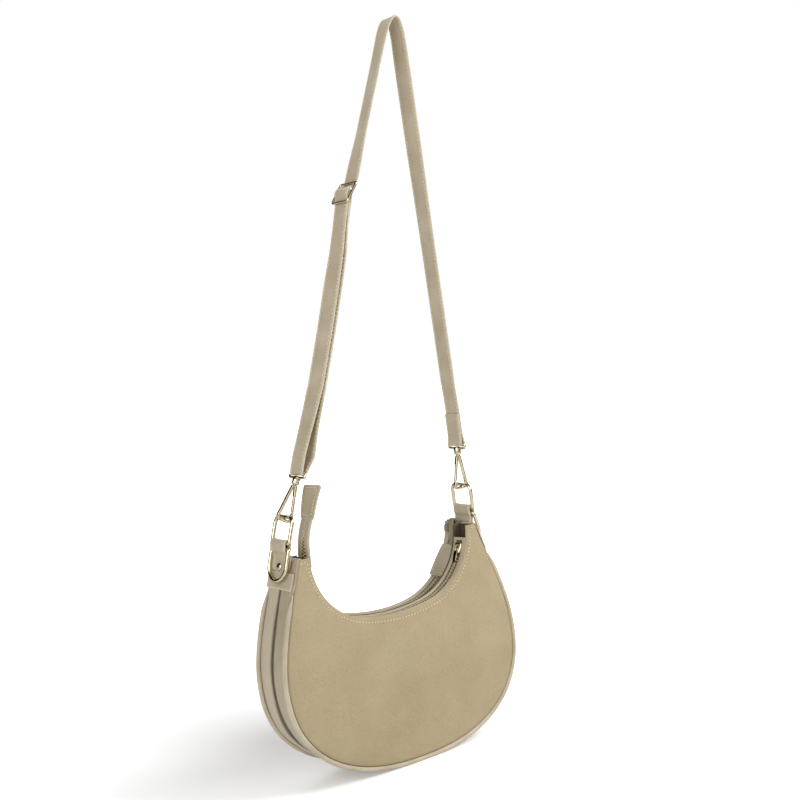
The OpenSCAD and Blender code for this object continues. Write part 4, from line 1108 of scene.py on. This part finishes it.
def teardrop(trim, head_trim):
    """Middle line of the hook's strip: round the left foot, the right one and the head. A straight
    left flank, in which the gate sits, would close it."""
    a = np.radians(np.arange(0, 360, 0.5))
    way = np.stack([np.cos(a), np.sin(a)], 1)
    centres = np.array([[FOOT_X, FOOT_Z], [-FOOT_X, FOOT_Z], [0, HOOK_H]])
    radii = np.array([FOOT_R - trim, FOOT_R - trim, HEAD_R - head_trim])
    best = np.argmax(way @ centres.T + radii, axis=1)
    line = centres[best] + radii[best][:, None] * way
    return np.roll(line, -int(np.argmax(best == 1)), axis=0)


for side, name in ((LEFT, "left"), (RIGHT, "right")):
    line = teardrop(HOOK_BAR / 2, HOOK_BAR * 0.45)
    flank = (line[-1] - line[0]) / (line[-1][1] - line[0][1])
    nose = line[0] + flank * (NOSE_Z - line[0][1])
    top_cut = line[0] + flank * (GATE_TOP_Z - line[0][1])
    path = resample(np.concatenate([[nose], line, [top_cut]]), 181)
    world = at_hook(with_y(path), side)
    outward = length_unit(at_hook(with_y(shifted(path, 1.0)), side) - world)
    strip = sweep(world, rounded_bar(HOOK_T, HOOK_BAR, 0.75), outward)
    ball = [[0.01, HOOK_H + 1.5], [STEM_R, HOOK_H + 1.5], [STEM_R, BALL_Z - 1.6]]
    ball += [[BALL_R * cos(t) + 0.001, BALL_Z + BALL_R * sin(t)] for t in np.linspace(-0.8, pi / 2, 15)]
    p, f = lathe(ball, 28)
    parts = joined(strip, (at_hook(p, side), f))
    piece(f"{name}_hook_strip", *parts, gold, f"{name}_hook", "gold_metal", f"{name}_hook", sharp=45)
    pin_half = HOOK_T / 2 + 0.15
    pin_line = [0, 1, 0] * np.linspace(-pin_half, pin_half, 5)[:, None] + [-PIN_X, 0, PIN_Z]
    pin = sweep(at_hook(pin_line, side), circle(0.85, 14), [0, 0, 1])
    piece(f"{name}_pin_head", *pin, gold, f"{name}_hook", "gold_metal", f"{name}_gate_pin")

    reach = FOOT_X + FOOT_R - HOOK_BAR / 2 - 0.75
    foot = np.array([-reach, NOSE_Z + GATE_R + CLEAR])
    head = np.array([-PIN_X - (reach - PIN_X) * 0.14, GATE_TOP_Z - GATE_R - CLEAR])
    line = resample([foot, head], 15)
    sideways = way_of(at_hook, [1, 0, 0], side)
    bar = sweep(at_hook(with_y(line), side), rounded_bar(2.4, 2.4, 0.8), sideways)
    line = resample([head - [0, 1], [-PIN_X, PIN_Z]], 7)
    tongue = sweep(at_hook(with_y(line), side), rounded_bar(1.2, 2.0, 0.4), sideways)
    parts = joined(bar, tongue)
    piece(f"{name}_gate_bar", *parts, gold, f"{name}_gate", "gold_metal", f"{name}_gate", sharp=45)

    top_z = EYE_Z - 3.2
    barrel = [[STEM_R + 0.1, COLLAR_Z], [COLLAR_R - 0.6, COLLAR_Z], [COLLAR_R, COLLAR_Z + 0.6],
              [COLLAR_R, COLLAR_Z + 2.2], [COLLAR_R - 0.35, COLLAR_Z + 2.5], [COLLAR_R, COLLAR_Z + 2.8],
              [COLLAR_R, top_z - 0.9], [COLLAR_R - 0.9, top_z], [0.4, top_z], [0.4, top_z - 0.5],
              [COLLAR_R - 0.9, top_z - 0.7], [COLLAR_R - 0.9, COLLAR_Z + 1], [STEM_R + 0.1, COLLAR_Z]]
    p, f = lathe(barrel, 36)
    f = [face for face in f if len(face) == 4]
    arm = [0, EYE_Z] + np.array([
        [COLLAR_R - 0.9, -4.6], [EYE_HALF - 2.2, -4.6], [EYE_HALF - 0.5, -3.9], [EYE_HALF, -2.4],
        [EYE_HALF, -1.2], [EYE_HALF - 0.4, -0.3], [EYE_HALF - 1.3, 0]])
    bow = np.concatenate([arm, arm[::-1] * [-1, 1]])
    bow = eased(resample(bow, 121), 4)
    eye = sweep(at_hook(end_on(bow), side), circle(EYE_R, 16), sideways)
    parts = joined((at_hook(p, side), f), eye)
    piece(f"{name}_eye_wire", *parts, gold, slot="gold_metal", stands_for=f"{name}_swivel_eye", sharp=45)

# %% [markdown]
# ## Strap and buckle
# One ribbon runs from its sewn end on the right hook, over the shoulder, round the buckle's outer
# bars, down to the left hook, up again, round the buckle's middle bar, and ends in a short tail. Its
# route is worked out in the plane, as in the part: each leg is a line up from its hook's eye, and a
# place on it is a length up the line and a distance out of it. The ribbon twists a little as it
# climbs, and the two layers of the left leg part near the hook.

# %% Strap route
STRAP_T, STRAP_Z, STRAP_X, BUCKLE_Z, BUCKLE_D = 1.6, 703, 55, 533, 2.4
LAYER, FOLD_R = STRAP_T + SEAT, EYE_R + CLEAR + STRAP_T / 2
BUCKLE_HALF_L, BUCKLE_LEAN, BUCKLE_OUT_D, TAIL_L, SEWN_L = 10.5, radians(34), 8, 26, 30
BUCKLE_HALF_W = STRAP_W / 2 + BUCKLE_D / 2 + 0.8


def eye_at(side):
    """Middle of a hook's eye, as x and z from the middle of the bag."""
    lean = LEANS_HOOK[side]
    return (link_top(side) + EYE_Z * np.array([-sin(lean), cos(lean)])) * [side, 1]


left_eye, right_eye = eye_at(LEFT), eye_at(RIGHT)
ARCH_HALF_W, ARCH_H = 11, 22
arch_left = np.array([STRAP_X - ARCH_HALF_W, STRAP_Z - ARCH_H])
arch_right = np.array([STRAP_X + ARCH_HALF_W, STRAP_Z - ARCH_H])
up_right, up_left = length_unit(arch_right - right_eye), length_unit(arch_left - left_eye)
out_right, out_left = np.array([up_right[1], -up_right[0]]), -np.array([up_left[1], -up_left[0]])
buckle_s = (BUCKLE_Z - left_eye[1]) / up_left[1]
buckle_at = left_eye + buckle_s * up_left + BUCKLE_OUT_D * out_left
buckle_up = np.array([sin(BUCKLE_LEAN), cos(BUCKLE_LEAN)])
buckle_out = np.array([-cos(BUCKLE_LEAN), sin(BUCKLE_LEAN)])
buckle_tip = BUCKLE_LEAN - atan2(up_left[0], up_left[1])
fixed_r, under_r = BUCKLE_D / 2 + STRAP_T / 2 + SEAT, BUCKLE_D / 2 + STRAP_T / 2 + CLEAR
cross_a = np.arcsin((fixed_r + under_r + LAYER) / BUCKLE_HALF_L)
tail_a = np.arcsin((under_r + LAYER * 2 - fixed_r) / BUCKLE_HALF_L)
below_d = BUCKLE_OUT_D + BUCKLE_HALF_L * sin(buckle_tip) - under_r


def by_right(s, d):
    """Point at a length up the right leg and a distance out of it."""
    return [right_eye + s * up_right + d * out_right]


def by_left(s, d):
    """Point at a length up the left leg and a distance out of it."""
    return [left_eye + s * up_left + d * out_left]


def round_bar(u, r, a0, a1, n):
    """Points round one of the buckle's bars; 0 is its inner side and half a turn its outer side."""
    a = np.linspace(a0, a1, n + 1)[:, None]
    return buckle_at + (u + r * np.sin(a)) * buckle_up - r * np.cos(a) * buckle_out


def leaf(k):
    """The two layers of the left leg, which stand apart most near the hook."""
    places = np.array([0.06, 0.16, 0.31, 0.51, 0.78])
    outs = np.array([2.4, 0, -3.2, -3.2, -2]) if k == 1 else np.array([-8, -6.4, -6.3, -6.6, -5.6])
    outs = outs + places * (below_d - LAYER / 2)
    return np.concatenate([by_left(p * buckle_s, out) for p, out in zip(places, outs)])


def fold(centre, a0, a1):
    """Half a turn round an eye."""
    a = np.linspace(a0, a1, 9)[:, None]
    return centre + FOLD_R * np.concatenate([np.cos(a), np.sin(a)], 1)


right_a, left_a = atan2(out_right[1], out_right[0]), atan2(out_left[1], out_left[0])
arch_pull = 1.32 * ARCH_H
arch = bezier([arch_right, arch_right + arch_pull * np.array([up_right[0] / up_right[1], 1]),
               arch_left + arch_pull * np.array([up_left[0] / up_left[1], 1]), arch_left], 33)
route = np.concatenate([
    by_right(SEWN_L, -LAYER / 2), by_right(SEWN_L / 3, -LAYER / 2), by_right(FOLD_R, -FOLD_R * 0.85),
    fold(right_eye, right_a - pi, right_a),
    by_right(FOLD_R, FOLD_R * 0.85), by_right(SEWN_L / 3, LAYER / 2), by_right(SEWN_L, LAYER / 2),
    by_right(SEWN_L * 2, 0), arch,
    round_bar(BUCKLE_HALF_L, under_r, buckle_tip, -cross_a, 5),
    round_bar(0, fixed_r + LAYER, pi - cross_a, pi + cross_a, 6),
    round_bar(-BUCKLE_HALF_L, under_r, cross_a, buckle_tip, 3),
    leaf(1)[::-1], fold(left_eye, left_a, left_a + pi), leaf(-1),
    round_bar(-BUCKLE_HALF_L, under_r + LAYER, buckle_tip, cross_a, 3),
    round_bar(0, fixed_r, pi + cross_a, tail_a, 8),
    round_bar(-BUCKLE_HALF_L, under_r + LAYER * 2, tail_a, buckle_tip, 3),
    by_left(buckle_s - BUCKLE_HALF_L - TAIL_L, below_d - LAYER * 3)])
print("strap length, mm", round(float(length_along(route)[-1])))

# %% Strap and buckle pieces
path = eased(resample(route, 1500), 8)
s = length_along(path)
tangent = length_unit(np.gradient(path, axis=0))
apex = int(np.argmax(path[:, 1]))
height = path[:, 1]
going_up = np.arange(len(path)) < apex
left_twist = 9 * smooth((height - BUCKLE_Z - 22) / 40)
left_twist -= 9 * smooth((BUCKLE_Z - 25 - height) / 60) * smooth((height - 300) / 60)
right_twist = -6 * smooth((height - 480) / 120)
twist = np.radians(np.where(going_up, right_twist, left_twist))
near_top = np.abs(s - s[apex]) < 60
twist = np.where(near_top, np.radians(15 * smooth((s - s[apex] + 60) / 120) - 6), twist)
width = np.stack([np.sin(twist), np.cos(twist), 0 * twist], 1)
ahead3 = with_y(tangent)
width = length_unit(width - (width * ahead3).sum(1, keepdims=True) * ahead3)
out3 = np.cross(ahead3, width)
v = np.linspace(-1, 1, 9)
half = STRAP_W / 2 - 0.8
centre3 = with_y(path) + BAG
grid = (centre3[:, None] + width[:, None] * (half * v)[None, :, None]
        + out3[:, None] * (STRAP_T / 2 - 0.12 * v ** 4)[None, :, None])
points, faces, edge = slab(grid, STRAP_T - 0.1, turn=1)
piece("strap_ribbon", points, faces, strap_leather, slot="smooth_leather", stands_for="strap", edge=edge)
rows = []
for k in (-1, 1):
    for face in (-1, 1):
        line = centre3 + width * k * (half - 1.4) + out3 * face * (STRAP_T / 2 - 0.08)
        rows.append(stitch_row(line[4:-4], (out3 * face)[4:-4], 3.6, 1.1, 0.46, 0.1))
piece("strap_stitches", *joined(*rows), thread, slot="edge_leather")


def at_buckle(points):
    """Puts points given up from the buckle's middle bar in their place."""
    p = np.asarray(points, float)
    x = buckle_at[0] + p[..., 0] * cos(BUCKLE_LEAN) + p[..., 2] * sin(BUCKLE_LEAN)
    z = buckle_at[1] - p[..., 0] * sin(BUCKLE_LEAN) + p[..., 2] * cos(BUCKLE_LEAN)
    return np.stack([x + BAG[0], p[..., 1] + BAG[1], z], -1)


flat = wire_rectangle(BUCKLE_HALF_W * 2, BUCKLE_HALF_L * 2, 2.2, 2.2) - [0, BUCKLE_HALF_L]
facing = way_of(at_buckle, [1, 0, 0])
wire = circle(BUCKLE_D / 2, 16)
frame_wire = sweep(at_buckle(end_on(flat)), wire, facing, closed=True)
piece("buckle_wire", *frame_wire, gold, slot="gold_metal", stands_for="buckle_frame")
rod_line = [0, 1, 0] * (np.linspace(-1, 1, 9) * (BUCKLE_HALF_W - 1))[:, None]
rod = sweep(at_buckle(rod_line), wire, facing)
piece("buckle_rod", *rod, gold, slot="gold_metal", stands_for="buckle_bar")

# %% [markdown]
# ## Studio
# The photograph has a white ground, a soft shadow to the left, and large pale lights that the gold
# mirrors. The floor is pale paper that glows for camera rays alone, more with the distance from a
# point behind the bag, so that the shadow stays and the ground runs out into white. The lamps stay
# low so that colours come out as they are written. The camera sees a white world, the metal mirrors
# soft dark and white patches, and everything else gets a dim even light.

# %% Floor, world and lamps
FLOOR_HALF = 6.0
corners = [(x * FLOOR_HALF, y * FLOOR_HALF, 0) for x, y in ((-1, -1), (1, -1), (1, 1), (-1, 1))]
floor_mesh = bpy.data.meshes.new("floor")
floor_mesh.from_pydata(corners, [], [(0, 1, 2, 3)])
floor = bpy.data.objects.new("floor", floor_mesh)
bpy.context.scene.collection.objects.link(floor)
paper = bpy.data.materials.new("white_paper")
paper.use_nodes = True
tree = paper.node_tree
tree.nodes.clear()
DARKEST_AT = (-0.05, 0.14, 0)
rays = add(tree, "ShaderNodeLightPath")
matt = add(tree, "ShaderNodeBsdfDiffuse", {"Color": linear("#F4F4F4")})
spot = add(tree, "ShaderNodeTexCoord").outputs["Object"]
away = add(tree, "ShaderNodeVectorMath", {0: spot, 1: DARKEST_AT}, operation="DISTANCE").outputs["Value"]
fade = add(tree, "ShaderNodeMapRange", {"Value": away, "From Min": 0.015, "From Max": 0.52})
glow = add(tree, "ShaderNodeEmission", {"Color": (1, 1, 1, 1), "Strength": fade.outputs[0]})
both = add(tree, "ShaderNodeAddShader", {0: matt.outputs[0], 1: glow.outputs[0]})
seen = add(tree, "ShaderNodeMixShader",
           {0: rays.outputs["Is Camera Ray"], 1: matt.outputs[0], 2: both.outputs[0]})
add(tree, "ShaderNodeOutputMaterial", {"Surface": seen.outputs[0]})
floor_mesh.materials.append(paper)

world = bpy.data.worlds.new("studio")
bpy.context.scene.world = world
world.use_nodes = True
tree = world.node_tree
tree.nodes.clear()
rays = add(tree, "ShaderNodeLightPath")
dim = add(tree, "ShaderNodeBackground", {"Color": (1, 1, 1, 1), "Strength": 0.38})
white = add(tree, "ShaderNodeBackground", {"Color": (1, 1, 1, 1), "Strength": 1.0})
way = add(tree, "ShaderNodeTexCoord").outputs["Generated"]
toward = add(tree, "ShaderNodeVectorMath", {0: way, 1: tuple(-look)},
             operation="DOT_PRODUCT").outputs["Value"]
patches = add(tree, "ShaderNodeTexNoise", {"Vector": way, "Scale": 2.6, "Detail": 1.0}).outputs["Fac"]
level_of = add(tree, "ShaderNodeMath", {0: toward, 1: 0.3, 2: patches}, operation="MULTIPLY_ADD").outputs[0]
boxes = ramp(tree, level_of, [(0.45, "#120D08"), (0.61, "#4C4130"), (0.71, "#D2C6AC"), (0.85, "#FFFFFF")])
mirrored = add(tree, "ShaderNodeBackground", {"Color": boxes, "Strength": 1.1})
around = add(tree, "ShaderNodeMixShader",
             {0: rays.outputs["Is Glossy Ray"], 1: dim.outputs[0], 2: mirrored.outputs[0]})
sky = add(tree, "ShaderNodeMixShader",
          {0: rays.outputs["Is Camera Ray"], 1: around.outputs[0], 2: white.outputs[0]})
add(tree, "ShaderNodeOutputWorld", {"Surface": sky.outputs[0]})


def softbox(name, at, aim, size, watts):
    """A square area lamp that looks from one point to another, in metres."""
    lamp = bpy.data.lights.new(name, "AREA")
    lamp.size = size
    lamp.energy = watts
    made = bpy.data.objects.new(name, lamp)
    z = length_unit(np.array(at, float) - np.array(aim, float))
    x = length_unit(np.cross([0, 0, 1.0], z))
    m = np.eye(4)
    m[:3, 0], m[:3, 1], m[:3, 2], m[:3, 3] = x, np.cross(z, x), z, at
    made.matrix_world = Matrix(m.tolist())
    bpy.context.scene.collection.objects.link(made)
    print("lamp", name, watts, "W")


softbox("key", (0.85, -0.9, 1.15), (0, 0, 0.2), 0.65, 15)
softbox("fill", (-1.8, -0.7, 1.1), (0, 0, 0.25), 1.6, 18)
softbox("back", (0.6, 1.6, 1.6), (0, 0, 0.3), 1.4, 11)
